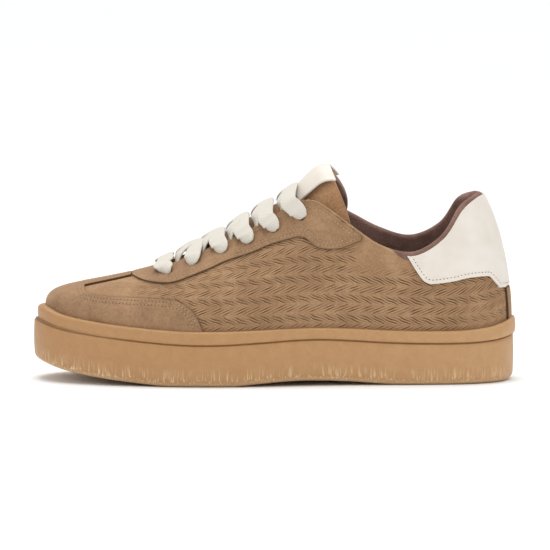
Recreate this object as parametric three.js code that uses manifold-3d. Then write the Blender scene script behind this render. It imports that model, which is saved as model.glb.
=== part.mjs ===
import * as THREE from "three";
import Module from "manifold-3d";
import { mergeVertices } from "three/addons/utils/BufferGeometryUtils.js";

// A low court sneaker for the left foot, in millimetres. The toe points to -X, the heel to +X,
// the outer side of the foot to -Y and up is +Z. The shoe stands on Z = 0.

// Driving sizes
const LENGTH = 268;
const BALL_WIDTH = 98;
const SOLE_HEIGHT = 31;
const UPPER_HEIGHT = 72;
const GAP = 0.3;

// Cupsole
const EDGE_RADIUS = 5;
const GROOVE_DEPTH = 0.9;
const GROOVE_HALF_HEIGHT = 0.7;
const LIP_BULGE = 0.3;
const LIP_INNER_DROP = 0.5;
const CUP_DRAFT = 1.5;
const TREAD_GROOVE_DEPTH = 1.6;
const TREAD_GROOVE_WIDTH = 3;
const TREAD_RIM = 9;
const FOREFOOT_GROOVES = { count: 6, first: 0.2, pitch: 11 };
const HEEL_GROOVES = { count: 4, first: 0.79, pitch: 11 };

// Upper
const WALL = 2.2;
const COLLAR_PAD = 2.4;
const OVERLAY_THICKNESS = 1.2;

// Eyelets and lace
const EYELET_RADIUS = 2.2;
const EYELET_ROWS = [
  { along: 0.325, setback: 16.5 },
  { along: 0.36, setback: 12.3 },
  { along: 0.408, setback: 9 },
  { along: 0.458, setback: 9 },
  { along: 0.508, setback: 9 },
  { along: 0.558, setback: 9 },
];
const LACE_WIDTH = 9.5;
const LACE_THICKNESS = 2.2;
const LACE_EDGE_LIFT = 0.9;
const LABEL_GAP = 0.45;
const LACE_RISES = [0, 0.2, 0, 0.2, 1.6];
const LACE_START = 2.8;
const LACE_LEAN = 5.5;
const BAR_LEAN = 16.5;
const BAR_RISE = 1;

// Tongue, label and insole
const TONGUE_HALF_WIDTH = 23;
const TONGUE_THICKNESS = 4.2;
const TONGUE_OUTER_LEAN = 0.44;
const TONGUE_INNER_LEAN = 0.46;
const TONGUE_INNER_SAG = 0.83;
const TONGUE_INNER_BULGE = 1.8;
const LABEL_LENGTH = 24;
const LABEL_THICKNESS = 1.4;
const LABEL_HALF_SHARE = 0.5;
const INSOLE_THICKNESS = 4.5;
const INSOLE_CLEARANCE = 0.6;

// How finely the curved faces are divided
const AROUND = 72;
const UPPER_STEPS = [-1, 0, 0.11, 0.27, 0.45, 0.63, 0.82, 1];
const LINING_STEPS = [-1, 0, 0.27, 0.63, 1];

// The sole's outline from the toe tip to the back of the heel. along is a share of the length from
// the toe, outer and inner are shares of the ball width.
const OUTLINE = [
  { along: 0.0, outer: 0.05, inner: 0.05 },
  { along: 0.017, outer: -0.133, inner: 0.235 },
  { along: 0.06, outer: -0.265, inner: 0.367 },
  { along: 0.133, outer: -0.383, inner: 0.439 },
  { along: 0.222, outer: -0.459, inner: 0.48 },
  { along: 0.311, outer: -0.5, inner: 0.49 },
  { along: 0.393, outer: -0.505, inner: 0.464 },
  { along: 0.474, outer: -0.485, inner: 0.418 },
  { along: 0.541, outer: -0.45, inner: 0.383 },
  { along: 0.6, outer: -0.423, inner: 0.362 },
  { along: 0.667, outer: -0.4, inner: 0.352 },
  { along: 0.741, outer: -0.386, inner: 0.357 },
  { along: 0.822, outer: -0.374, inner: 0.363 },
  { along: 0.896, outer: -0.345, inner: 0.347 },
  { along: 0.952, outer: -0.273, inner: 0.279 },
  { along: 0.987, outer: -0.158, inner: 0.163 },
  { along: 1.0, outer: 0.0, inner: 0.0 },
];

// Heights at the same places, as shares of the sole height: underside, groove, top of the lip and
// floor of the cup. lipOut is how far the lip stands out past the wall and feather how far the
// upper lies inside the wall, both in millimetres.
const SOLE_ROWS = [
  { bottom: 0.34, groove: 1.09, lip: 1.34, floor: 0.8, lipOut: -2.1, feather: 7.8 },
  { bottom: 0.31, groove: 1.05, lip: 1.31, floor: 0.78, lipOut: -2.0, feather: 7.6 },
  { bottom: 0.22, groove: 0.96, lip: 1.21, floor: 0.71, lipOut: -1.5, feather: 6.6 },
  { bottom: 0.125, groove: 0.884, lip: 1.125, floor: 0.6, lipOut: -0.7, feather: 5.4 },
  { bottom: 0.045, groove: 0.81, lip: 1.05, floor: 0.5, lipOut: 0.0, feather: 4.4 },
  { bottom: -0.02, groove: 0.755, lip: 1.0, floor: 0.45, lipOut: 0.2, feather: 3.7 },
  { bottom: -0.02, groove: 0.752, lip: 0.995, floor: 0.46, lipOut: 0.3, feather: 3.3 },
  { bottom: 0.045, groove: 0.79, lip: 1.015, floor: 0.49, lipOut: 0.3, feather: 3.2 },
  { bottom: 0.085, groove: 0.825, lip: 1.035, floor: 0.51, lipOut: 0.3, feather: 3.2 },
  { bottom: 0.088, groove: 0.835, lip: 1.04, floor: 0.53, lipOut: 0.3, feather: 3.2 },
  { bottom: 0.06, groove: 0.805, lip: 1.02, floor: 0.55, lipOut: 0.3, feather: 3.2 },
  { bottom: 0.01, groove: 0.765, lip: 0.985, floor: 0.57, lipOut: 0.35, feather: 3.2 },
  { bottom: -0.02, groove: 0.748, lip: 0.968, floor: 0.58, lipOut: 0.45, feather: 3.2 },
  { bottom: -0.02, groove: 0.748, lip: 0.975, floor: 0.58, lipOut: 0.6, feather: 3.2 },
  { bottom: -0.02, groove: 0.772, lip: 1.02, floor: 0.58, lipOut: 0.9, feather: 2.8 },
  { bottom: -0.02, groove: 0.82, lip: 1.1, floor: 0.58, lipOut: 1.1, feather: 2.4 },
  { bottom: -0.02, groove: 0.845, lip: 1.15, floor: 0.58, lipOut: 1.1, feather: 2.2 },
];

// The upper's top edge at the same places: round the front of the throat, up its facing, over the
// top eyelet corner, along the collar and up the heel. along is a share of the length, outer and
// inner shares of the ball width and up a share of the upper height above the sole height; innerUp
// is what the inner side stands higher. rise and bulge shape the side above the sole, reach and
// drop the shoulder below the edge, as shares of the upper height. pad is how much of the collar's
// padding there is.
const UPPER_ROWS = [
  { along: 0.256, outer: 0.015, inner: 0.015, up: 0.43, innerUp: 0, rise: 0.17, bulge: 0.012, reach: 0.58,
    drop: 0.15, pad: 0 },
  { along: 0.257, outer: -0.026, inner: 0.056, up: 0.43, innerUp: 0, rise: 0.17, bulge: 0.012, reach: 0.55,
    drop: 0.15, pad: 0 },
  { along: 0.264, outer: -0.07, inner: 0.1, up: 0.438, innerUp: 0, rise: 0.19, bulge: 0.015, reach: 0.42,
    drop: 0.13, pad: 0 },
  { along: 0.29, outer: -0.107, inner: 0.13, up: 0.464, innerUp: 0, rise: 0.21, bulge: 0.02, reach: 0.3,
    drop: 0.12, pad: 0 },
  { along: 0.334, outer: -0.134, inner: 0.149, up: 0.532, innerUp: 0, rise: 0.24, bulge: 0.024, reach: 0.21,
    drop: 0.12, pad: 0 },
  { along: 0.389, outer: -0.155, inner: 0.163, up: 0.624, innerUp: 0, rise: 0.27, bulge: 0.024, reach: 0.16,
    drop: 0.13, pad: 0 },
  { along: 0.444, outer: -0.174, inner: 0.179, up: 0.722, innerUp: 0, rise: 0.3, bulge: 0.02, reach: 0.14,
    drop: 0.16, pad: 0 },
  { along: 0.5, outer: -0.194, inner: 0.194, up: 0.838, innerUp: 0, rise: 0.33, bulge: 0.014, reach: 0.12,
    drop: 0.2, pad: 0 },
  { along: 0.546, outer: -0.219, inner: 0.219, up: 0.958, innerUp: 0, rise: 0.36, bulge: 0.01, reach: 0.09,
    drop: 0.25, pad: 0.1 },
  { along: 0.593, outer: -0.25, inner: 0.245, up: 0.948, innerUp: 0.01, rise: 0.36, bulge: 0.01, reach: 0.06,
    drop: 0.28, pad: 0.4 },
  { along: 0.659, outer: -0.296, inner: 0.286, up: 0.773, innerUp: 0.045, rise: 0.28, bulge: 0.014, reach: 0.03,
    drop: 0.24, pad: 0.8 },
  { along: 0.722, outer: -0.321, inner: 0.311, up: 0.617, innerUp: 0.075, rise: 0.22, bulge: 0.018, reach: 0.02,
    drop: 0.19, pad: 1 },
  { along: 0.789, outer: -0.316, inner: 0.306, up: 0.56, innerUp: 0.07, rise: 0.2, bulge: 0.018, reach: 0.02,
    drop: 0.17, pad: 1 },
  { along: 0.85, outer: -0.276, inner: 0.27, up: 0.685, innerUp: 0.045, rise: 0.23, bulge: 0.016, reach: 0.03,
    drop: 0.2, pad: 1 },
  { along: 0.89, outer: -0.214, inner: 0.214, up: 0.9, innerUp: 0.03, rise: 0.28, bulge: 0.01, reach: 0.06,
    drop: 0.26, pad: 1 },
  { along: 0.92, outer: -0.112, inner: 0.112, up: 0.985, innerUp: 0.012, rise: 0.32, bulge: 0.004, reach: 0.11,
    drop: 0.22, pad: 1 },
  { along: 0.934, outer: 0.0, inner: 0.0, up: 1.0, innerUp: 0, rise: 0.34, bulge: 0.0, reach: 0.12,
    drop: 0.2, pad: 1 },
];

// Lower edges of the overlays, seen from the side: along as a share of the length, up as a share
// of the upper height above the sole height.
const TOE_CAP_EDGE = [
  { along: 0.106, up: 0.34 },
  { along: 0.112, up: 0.265 },
  { along: 0.134, up: 0.242 },
  { along: 0.18, up: 0.236 },
  { along: 0.241, up: 0.233 },
  { along: 0.29, up: 0.226 },
  { along: 0.316, up: 0.196 },
  { along: 0.34, up: 0.12 },
  { along: 0.362, up: -0.05 },
];
const STEM_HALF_WIDTH = 11;
const EYESTAY_EDGE = [
  { along: 0.206, up: 0.38 },
  { along: 0.236, up: 0.352 },
  { along: 0.274, up: 0.342 },
  { along: 0.306, up: 0.362 },
  { along: 0.368, up: 0.452 },
  { along: 0.403, up: 0.51 },
  { along: 0.453, up: 0.573 },
  { along: 0.495, up: 0.64 },
  { along: 0.538, up: 0.69 },
  { along: 0.553, up: 0.703 },
  { along: 0.566, up: 0.69 },
  { along: 0.578, up: 0.652 },
  { along: 0.59, up: 0.622 },
  { along: 0.604, up: 0.611 },
  { along: 0.623, up: 0.61 },
  { along: 0.644, up: 0.62 },
  { along: 0.682, up: 0.68 },
];
const HEEL_TAB_EDGE = [
  { along: 0.772, up: 0.58 },
  { along: 0.791, up: 0.461 },
  { along: 0.806, up: 0.38 },
  { along: 0.817, up: 0.35 },
  { along: 0.831, up: 0.343 },
  { along: 0.87, up: 0.36 },
  { along: 0.903, up: 0.385 },
  { along: 0.939, up: 0.392 },
  { along: 0.948, up: 0.38 },
  { along: 0.964, up: 0.311 },
  { along: 0.972, up: 0.297 },
  { along: 1.04, up: 0.3 },
];
const BACKSTAY_HALF_WIDTH = 11;
const BACKSTAY_TOP = 0.3;

// The tongue's middle line from its foot under the vamp to its top. along is a share of the length,
// up a share of the upper height above the sole height, width a share of the tongue's half width
// and sag how far its sides hang below the middle, as a share of the upper height.
const TONGUE_ROWS = [
  { along: 0.262, up: 0.365, width: 0.62, sag: 0.03 },
  { along: 0.33, up: 0.565, width: 0.7, sag: 0.19 },
  { along: 0.4, up: 0.705, width: 0.78, sag: 0.23 },
  { along: 0.47, up: 0.868, width: 0.86, sag: 0.27 },
  { along: 0.54, up: 1.0, width: 0.95, sag: 0.36 },
  { along: 0.595, up: 1.185, width: 1.0, sag: 0.43 },
  { along: 0.619, up: 1.2, width: 1.0, sag: 0.45 },
];
const TONGUE_ALONG_STEPS = 14;
const TONGUE_ACROSS_STEPS = 10;

const wasm = await Module();
wasm.setup();

const alongToX = (share) => (share - 0.5) * LENGTH;
const upToZ = (share) => SOLE_HEIGHT + share * UPPER_HEIGHT;
const UP = new THREE.Vector3(0, 0, 1);

// Loops run round the shoe from the toe tip along the outer side, round the heel and back along
// the inner side. Each row stands twice in a loop, except the toe tip and the back of the heel.
const ROW_COUNT = OUTLINE.length;
const LOOP_COUNT = 2 * (ROW_COUNT - 1);

function loopOf(pick) {
  const values = [];
  for (let place = 0; place < LOOP_COUNT; place += 1) {
    const inner = place > ROW_COUNT - 1;
    const row = inner ? LOOP_COUNT - place : place;
    values.push(pick(row, inner));
  }
  return new THREE.CatmullRomCurve3(values, true, "catmullrom", 0.5);
}

const outline = loopOf((row, inner) => {
  const { along, outer, inner: innerSide } = OUTLINE[row];
  return new THREE.Vector3(alongToX(along), (inner ? innerSide : outer) * BALL_WIDTH, 0);
});
const soleHeights = loopOf((row) => {
  const { bottom, groove, lip } = SOLE_ROWS[row];
  return new THREE.Vector3(bottom, groove, lip);
});
const soleInsets = loopOf((row) => {
  const { floor, lipOut, feather } = SOLE_ROWS[row];
  return new THREE.Vector3(floor, lipOut, feather);
});
const topEdge = loopOf((row, inner) => {
  const edge = UPPER_ROWS[row];
  const across = (inner ? edge.inner : edge.outer) * BALL_WIDTH;
  return new THREE.Vector3(alongToX(edge.along), across, upToZ(edge.up + (inner ? edge.innerUp : 0)));
});
const sideShape = loopOf((row) => {
  const { rise, bulge, pad } = UPPER_ROWS[row];
  return new THREE.Vector3(rise, bulge, pad);
});
const shoulderShape = loopOf((row) => {
  const { reach, drop } = UPPER_ROWS[row];
  return new THREE.Vector3(reach, drop, 0);
});

const wrap = (a) => a - Math.floor(a);

function outwardAt(a) {
  const step = 1e-4;
  const ahead = outline.getPoint(wrap(a + step));
  const behind = outline.getPoint(wrap(a - step));
  const tangent = ahead.sub(behind).normalize();
  return new THREE.Vector3(tangent.y, -tangent.x, 0);
}

// Everything that is known about the sole's edge at one place of the loop
function edgeAt(a) {
  const heights = soleHeights.getPoint(wrap(a));
  const insets = soleInsets.getPoint(wrap(a));
  return {
    point: outline.getPoint(wrap(a)),
    outward: outwardAt(a),
    bottom: Math.max(0, heights.x) * SOLE_HEIGHT,
    groove: heights.y * SOLE_HEIGHT,
    lip: heights.z * SOLE_HEIGHT,
    floor: insets.x * SOLE_HEIGHT,
    lipOut: insets.y,
    feather: insets.z,
  };
}

function insetPoint(edge, inset, height) {
  const point = edge.point.clone().addScaledVector(edge.outward, -inset);
  point.z = height;
  return point;
}

// The upper's outer face. step runs from -1 on the cup's floor to 0 at the lip and 1 at the edge.
function upperPoint(a, step) {
  const edge = edgeAt(a);
  const atLip = insetPoint(edge, edge.feather, edge.lip - LIP_INNER_DROP);
  if (step < 0) {
    const atFloor = insetPoint(edge, edge.feather + CUP_DRAFT, edge.floor + GAP);
    return atLip.lerp(atFloor, -step);
  }
  const top = topEdge.getPoint(wrap(a));
  const side = sideShape.getPoint(wrap(a));
  const shoulder = shoulderShape.getPoint(wrap(a));
  const away = atLip.clone().sub(top).setZ(0).normalize();
  const low = atLip.clone().addScaledVector(UP, side.x * UPPER_HEIGHT);
  low.addScaledVector(edge.outward, side.y * BALL_WIDTH);
  const high = top.clone().addScaledVector(away, shoulder.x * UPPER_HEIGHT);
  high.addScaledVector(UP, -shoulder.y * UPPER_HEIGHT);
  return new THREE.CubicBezierCurve3(atLip, low, high, top).getPoint(step);
}

function upperNormal(a, step) {
  const small = 1e-3;
  const low = step < 0 ? -1 : Math.max(0, step - small);
  const high = step < 0 ? 0 : Math.min(1, Math.max(step, small) + small);
  const across = upperPoint(a + small, step).sub(upperPoint(a - small, step));
  const upward = upperPoint(a, high).sub(upperPoint(a, low));
  return across.cross(upward).normalize();
}

const offsetPoint = (a, step, offset) => upperPoint(a, step).addScaledVector(upperNormal(a, step), offset);

// Closed solids from rings of points. Each ring is joined to the next; a capped end is closed by
// strips straight across the shoe, because the two sides' points lie at the same places. From the
// ring numbered turn on, the faces are split the other way, so that an inner face matches an outer.
function solidFromRings(rings, capped, turn = rings.length) {
  const count = rings[0].length;
  const positions = rings.flat().flatMap((point) => [point.x, point.y, point.z]);
  const index = [];
  const joined = capped ? rings.length - 1 : rings.length;
  for (let ring = 0; ring < joined; ring += 1) {
    const here = ring * count;
    const next = ((ring + 1) % rings.length) * count;
    for (let k = 0; k < count; k += 1) {
      const after = (k + 1) % count;
      if (ring < turn) {
        index.push(here + k, here + after, next + after, here + k, next + after, next + k);
      } else {
        index.push(here + k, here + after, next + k, here + after, next + after, next + k);
      }
    }
  }
  if (capped) {
    const last = (rings.length - 1) * count;
    for (let k = 0; k < count / 2; k += 1) {
      const a = k;
      const b = k + 1;
      const c = count - k - 1;
      const d = (count - k) % count;
      if (b !== c) {
        index.push(a, c, b);
        index.push(last + b, last + c, last + a);
      }
      if (a !== d) {
        index.push(a, d, c);
        index.push(last + c, last + d, last + a);
      }
    }
  }
  const geometry = new THREE.BufferGeometry();
  geometry.setAttribute("position", new THREE.Float32BufferAttribute(positions, 3));
  geometry.setIndex(index);
  return geometry;
}

function toSolid(geometry) {
  const bare = geometry.clone();
  bare.deleteAttribute("normal");
  bare.deleteAttribute("uv");
  const merged = mergeVertices(bare, 1e-4);
  const vertProperties = new Float32Array(merged.attributes.position.array);
  const triVerts = new Uint32Array(merged.index.array);
  return new wasm.Manifold(new wasm.Mesh({ numProp: 3, vertProperties, triVerts }));
}

function toGeometry(solid) {
  const mesh = solid.getMesh();
  const geometry = new THREE.BufferGeometry();
  geometry.setAttribute("position", new THREE.BufferAttribute(new Float32Array(mesh.vertProperties), 3));
  geometry.setIndex(new THREE.BufferAttribute(new Uint32Array(mesh.triVerts), 1));
  return geometry;
}

const places = Array.from({ length: AROUND }, (_, k) => k / AROUND);

// Cupsole: underside, rounded edge, wall, groove, lip and the cup that holds the upper
function cupsoleGeometry() {
  const edges = places.map(edgeAt);
  const profile = (edge) => {
    const lipOuter = -edge.lipOut;
    const lipInner = edge.feather - GAP;
    const lipWidth = lipInner - lipOuter;
    const wallFoot = edge.bottom + EDGE_RADIUS;
    return [
      [EDGE_RADIUS, edge.bottom],
      [EDGE_RADIUS * 0.35, edge.bottom + EDGE_RADIUS * 0.25],
      [EDGE_RADIUS * 0.05, wallFoot],
      [-LIP_BULGE, (wallFoot + edge.groove) / 2],
      [0, edge.groove - GROOVE_HALF_HEIGHT],
      [GROOVE_DEPTH, edge.groove],
      [lipOuter, edge.groove + GROOVE_HALF_HEIGHT],
      [lipOuter - LIP_BULGE, (edge.groove + edge.lip) / 2],
      [lipOuter + lipWidth * 0.2, edge.lip - LIP_INNER_DROP * 2],
      [lipOuter + lipWidth * 0.55, edge.lip],
      [lipInner, edge.lip - LIP_INNER_DROP],
      [lipInner + CUP_DRAFT, edge.floor],
    ];
  };
  const levels = profile(edges[0]).length;
  const rings = [];
  for (let level = 0; level < levels; level += 1) {
    rings.push(edges.map((edge) => insetPoint(edge, ...profile(edge)[level])));
  }
  let solid = toSolid(solidFromRings(rings, true));
  for (const groove of treadGrooves()) {
    solid = solid.subtract(toSolid(groove));
  }
  return toGeometry(solid);
}

// Flex grooves across the underside; they stop short of the edge
function treadGrooves() {
  const cutters = [];
  for (const { count, first, pitch } of [FOREFOOT_GROOVES, HEEL_GROOVES]) {
    for (let k = 0; k < count; k += 1) {
      const x = alongToX(first) + k * pitch;
      const sides = sidesAt(x);
      const width = sides.inner - sides.outer - 2 * TREAD_RIM;
      const box = new THREE.BoxGeometry(TREAD_GROOVE_WIDTH, width, 2 * TREAD_GROOVE_DEPTH);
      box.translate(x, (sides.inner + sides.outer) / 2, sides.bottom);
      cutters.push(box);
    }
  }
  return cutters;
}

// Where the outline's two sides lie at one place along the shoe
function sidesAt(x) {
  let low = 0;
  let high = 0.5;
  for (let turn = 0; turn < 40; turn += 1) {
    const middle = (low + high) / 2;
    if (outline.getPoint(middle).x < x) {
      low = middle;
    } else {
      high = middle;
    }
  }
  return {
    outer: outline.getPoint(low).y,
    inner: outline.getPoint(1 - low).y,
    bottom: edgeAt(low).bottom,
  };
}

// Insole: a slab on the cup's floor, inside the upper's wall
function insoleGeometry() {
  const inset = (edge) => edge.feather + CUP_DRAFT + WALL + INSOLE_CLEARANCE;
  const edges = places.map(edgeAt);
  const level = (extra, height) => edges.map((edge) => insetPoint(edge, inset(edge) + extra, edge.floor + height));
  const rings = [
    level(0.6, GAP),
    level(0, GAP + INSOLE_THICKNESS * 0.3),
    level(0, GAP + INSOLE_THICKNESS * 0.8),
    level(1.2, GAP + INSOLE_THICKNESS),
  ];
  return solidFromRings(rings, true);
}

const padShare = (step) => THREE.MathUtils.smoothstep(step, 0.3, 0.85);

function wallAt(a, step) {
  return WALL + COLLAR_PAD * sideShape.getPoint(wrap(a)).z * padShare(step);
}

// Upper: the outer face, a rounded edge and the inner face, one wall apart
function upperGeometry() {
  const outer = UPPER_STEPS.map((step) => places.map((a) => upperPoint(a, step)));
  const inner = LINING_STEPS.map((step) => places.map((a) => offsetPoint(a, step, -wallAt(a, step))));
  const roll = places.map((a) => {
    const middle = upperPoint(a, 1).add(offsetPoint(a, 1, -wallAt(a, 1))).multiplyScalar(0.5);
    return middle.addScaledVector(UP, wallAt(a, 1) * 0.3);
  });
  return solidFromRings([...outer, roll, ...inner.reverse()], false, outer.length);
}

// The layer in which the overlays lie: from the lip up to the top edge, just off the upper
function overlayShell() {
  const steps = UPPER_STEPS.filter((step) => step >= 0);
  const low = 0.012;
  const risen = steps.map((step) => Math.max(step, low));
  const outer = risen.map((step) => places.map((a) => offsetPoint(a, step, GAP + OVERLAY_THICKNESS)));
  const inner = risen.map((step) => places.map((a) => offsetPoint(a, step, GAP)));
  return toSolid(solidFromRings([...outer, ...inner.reverse()], false, outer.length));
}

// A straight cutter with the outline of a row of points, through the whole shoe from side to side
function sideCutter(points) {
  const shape = new THREE.Shape(points.map(([x, z]) => new THREE.Vector2(x, z)));
  const geometry = new THREE.ExtrudeGeometry(shape, { depth: 2 * BALL_WIDTH, bevelEnabled: false });
  geometry.rotateX(Math.PI / 2);
  geometry.translate(0, BALL_WIDTH, 0);
  return toSolid(geometry);
}

function smoothEdge(rows, steps) {
  const points = rows.map(({ along, up }) => new THREE.Vector2(alongToX(along), upToZ(up)));
  return new THREE.SplineCurve(points).getPoints(steps).map((point) => [point.x, point.y]);
}

const FAR_LEFT = alongToX(-0.1);
const FAR_RIGHT = alongToX(1.1);
const FAR_UP = upToZ(2);

function boxSolid(x0, x1, y0, y1, z0, z1) {
  const box = new THREE.BoxGeometry(x1 - x0, y1 - y0, z1 - z0);
  box.translate((x0 + x1) / 2, (y0 + y1) / 2, (z0 + z1) / 2);
  return toSolid(box);
}

function eyestayCutter(grow) {
  const edge = smoothEdge(EYESTAY_EDGE, 40).map(([x, z]) => [x - grow, z - grow]);
  const [frontX] = edge[0];
  const [backX] = edge[edge.length - 1];
  return sideCutter([...edge, [backX, FAR_UP], [frontX, FAR_UP]]);
}

function toeCapCutter() {
  const edge = smoothEdge(TOE_CAP_EDGE, 26);
  const [frontX] = edge[0];
  const [backX] = edge[edge.length - 1];
  const guard = sideCutter([[FAR_LEFT, 0], [backX, 0], ...edge.reverse(), [frontX, FAR_UP], [FAR_LEFT, FAR_UP]]);
  const middle = topEdge.getPoint(0).y + 1;
  const stemEnd = alongToX(EYESTAY_EDGE[1].along);
  const stem = boxSolid(frontX - 4, stemEnd, middle - STEM_HALF_WIDTH, middle + STEM_HALF_WIDTH, 0, FAR_UP);
  return guard.add(stem).subtract(eyestayCutter(GAP));
}

function heelTabCutter() {
  const edge = smoothEdge(HEEL_TAB_EDGE, 34);
  const [frontX] = edge[0];
  return sideCutter([...edge, [FAR_RIGHT, FAR_UP], [frontX, FAR_UP]]);
}

// Eyelets lie one setback below the throat's edge, evenly spaced along the shoe
// Where the throat's edge has a wanted x, as a place in the loop
function throatPlace(wanted, inner) {
  let low = 0;
  let high = 9 / LOOP_COUNT;
  for (let turn = 0; turn < 40; turn += 1) {
    const middle = (low + high) / 2;
    if (topEdge.getPoint(middle).x < wanted) {
      low = middle;
    } else {
      high = middle;
    }
  }
  return inner ? 1 - low : low;
}

function eyeletPlaces(inner) {
  return EYELET_ROWS.map(({ along, setback }) => {
    const a = throatPlace(alongToX(along), inner);
    let step = 1;
    let travelled = 0;
    let last = upperPoint(a, step);
    while (travelled < setback) {
      step -= 0.005;
      const next = upperPoint(a, step);
      travelled += next.distanceTo(last);
      last = next;
    }
    const edge = upperPoint(a, 1);
    const pace = upperPoint(a + 0.001, 1).distanceTo(edge) / 0.001;
    const point = upperPoint(a, step);
    const start = upperPoint(throatPlace(point.x + LACE_START, inner), 1);
    return { a, step, point, normal: upperNormal(a, step), edge, pace, start };
  });
}

const outerEyelets = eyeletPlaces(false);
const innerEyelets = eyeletPlaces(true);

function punch({ point, normal }) {
  const pin = new THREE.CylinderGeometry(EYELET_RADIUS, EYELET_RADIUS, 4 * (WALL + OVERLAY_THICKNESS), 8);
  const turn = new THREE.Quaternion().setFromUnitVectors(new THREE.Vector3(0, 1, 0), normal);
  pin.applyQuaternion(turn);
  pin.translate(point.x, point.y, point.z);
  return toSolid(pin);
}

function punched(solid) {
  return [...outerEyelets, ...innerEyelets].reduce((rest, eyelet) => rest.subtract(punch(eyelet)), solid);
}

// Tongue: a padded sheet along its middle line, its sides hanging down beside the instep
const tongueLine = new THREE.CatmullRomCurve3(
  TONGUE_ROWS.map(({ along, up }) => new THREE.Vector3(alongToX(along), 0, upToZ(up))),
);
const tongueShape = new THREE.CatmullRomCurve3(
  TONGUE_ROWS.map(({ width, sag }) => new THREE.Vector3(width, sag, 0)),
);

function tonguePoint(along, across, depth) {
  const middle = tongueLine.getPoint(along);
  const tangent = tongueLine.getTangent(along);
  const inward = new THREE.Vector3(tangent.z, 0, -tangent.x);
  const lean = across < 0 ? TONGUE_OUTER_LEAN : TONGUE_INNER_LEAN;
  const downward = new THREE.Vector3(lean, 0, -1).normalize();
  if (across > 0) downward.x *= 1 + TONGUE_INNER_BULGE * (1 - across);
  const { x: width, y: sag } = tongueShape.getPoint(along);
  const half = width * TONGUE_HALF_WIDTH;
  const hang = sag * UPPER_HEIGHT * (across < 0 ? 1 : TONGUE_INNER_SAG);
  const slope = Math.atan2(2 * hang * across, half);
  const point = middle.clone().addScaledVector(downward, hang * across * across);
  point.addScaledVector(inward, depth * Math.cos(slope));
  point.y = middleOfThroat(point.x) + half * across - depth * Math.sin(slope);
  return point;
}

// The throat's middle leans a little to the inner side towards the toe
function middleOfThroat(x) {
  const toeLean = topEdge.getPoint(0).y;
  const share = THREE.MathUtils.clamp((alongToX(TONGUE_ROWS[3].along) - x) / (LENGTH * 0.2), 0, 1);
  return toeLean * share;
}

function sheetGeometry(sheetPoint, alongs, acrosses, thickness) {
  const rings = alongs.map((along) => {
    const front = acrosses.map((across) => sheetPoint(along, across, 0));
    const back = acrosses.map((across) => sheetPoint(along, across, thickness));
    return [...front, ...back.reverse()];
  });
  const count = rings[0].length;
  const positions = rings.flat().flatMap((point) => [point.x, point.y, point.z]);
  const index = [];
  for (let ring = 0; ring < rings.length - 1; ring += 1) {
    for (let k = 0; k < count; k += 1) {
      const here = ring * count;
      const next = here + count;
      const after = (k + 1) % count;
      index.push(here + k, next + after, here + after, here + k, next + k, next + after);
    }
  }
  const last = (rings.length - 1) * count;
  for (let k = 0; k < acrosses.length - 1; k += 1) {
    const a = k;
    const b = k + 1;
    const c = count - k - 2;
    const d = count - k - 1;
    index.push(a, b, c, a, c, d);
    index.push(last + a, last + c, last + b, last + a, last + d, last + c);
  }
  const geometry = new THREE.BufferGeometry();
  geometry.setAttribute("position", new THREE.Float32BufferAttribute(positions, 3));
  geometry.setIndex(index);
  return geometry;
}

const spread = (from, to, steps) => Array.from({ length: steps + 1 }, (_, k) => from + ((to - from) * k) / steps);

function tongueGeometry() {
  const alongs = spread(0, 1, TONGUE_ALONG_STEPS);
  const acrosses = spread(-1, 1, TONGUE_ACROSS_STEPS);
  return sheetGeometry(tonguePoint, alongs, acrosses, TONGUE_THICKNESS);
}

function labelGeometry() {
  const start = tongueLine.getUtoTmapping(1 - LABEL_LENGTH / tongueLine.getLength());
  const alongs = spread(start, 1, 7);
  const acrosses = spread(-LABEL_HALF_SHARE, LABEL_HALF_SHARE, 6);
  const lifted = (along, across, depth) => tonguePoint(along, across, depth - LABEL_GAP - LABEL_THICKNESS);
  return sheetGeometry(lifted, alongs, acrosses, LABEL_THICKNESS);
}

// Lace: a flat band through a few points, each with the direction that its face looks to
function laceBand(stops) {
  const path = new THREE.CatmullRomCurve3(stops.map(({ point }) => point));
  const faces = new THREE.CatmullRomCurve3(stops.map(({ face }) => face));
  const steps = 2 * (stops.length - 1);
  const rings = spread(0, 1, steps).map((share) => {
    const middle = path.getPoint(share);
    const tangent = path.getTangent(share);
    const face = faces.getPoint(share).normalize();
    const side = tangent.clone().cross(face).normalize();
    const lift = side.clone().cross(tangent).normalize();
    const narrow = 1 - 0.35 * THREE.MathUtils.smoothstep(share, 0.86, 1);
    const half = (LACE_WIDTH / 2) * narrow;
    const corners = [[-1, 0], [-0.8, 0.5], [0.8, 0.5], [1, 0], [0.8, -0.5], [-0.8, -0.5]];
    return corners.map(([across, thick]) => {
      const corner = middle.clone().addScaledVector(side, across * half);
      return corner.addScaledVector(lift, thick * LACE_THICKNESS);
    });
  });
  const count = rings[0].length;
  const positions = rings.flat().flatMap((point) => [point.x, point.y, point.z]);
  const index = [];
  for (let ring = 0; ring < rings.length - 1; ring += 1) {
    for (let k = 0; k < count; k += 1) {
      const here = ring * count;
      const next = here + count;
      const after = (k + 1) % count;
      index.push(here + k, here + after, next + after, here + k, next + after, next + k);
    }
  }
  const last = (rings.length - 1) * count;
  for (let k = 1; k < count - 1; k += 1) {
    index.push(0, k + 1, k);
    index.push(last, last + k, last + k + 1);
  }
  const geometry = new THREE.BufferGeometry();
  geometry.setAttribute("position", new THREE.Float32BufferAttribute(positions, 3));
  geometry.setIndex(index);
  return geometry;
}

const laceLift = GAP + OVERLAY_THICKNESS + GAP + LACE_THICKNESS / 2 + 0.4;

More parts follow.
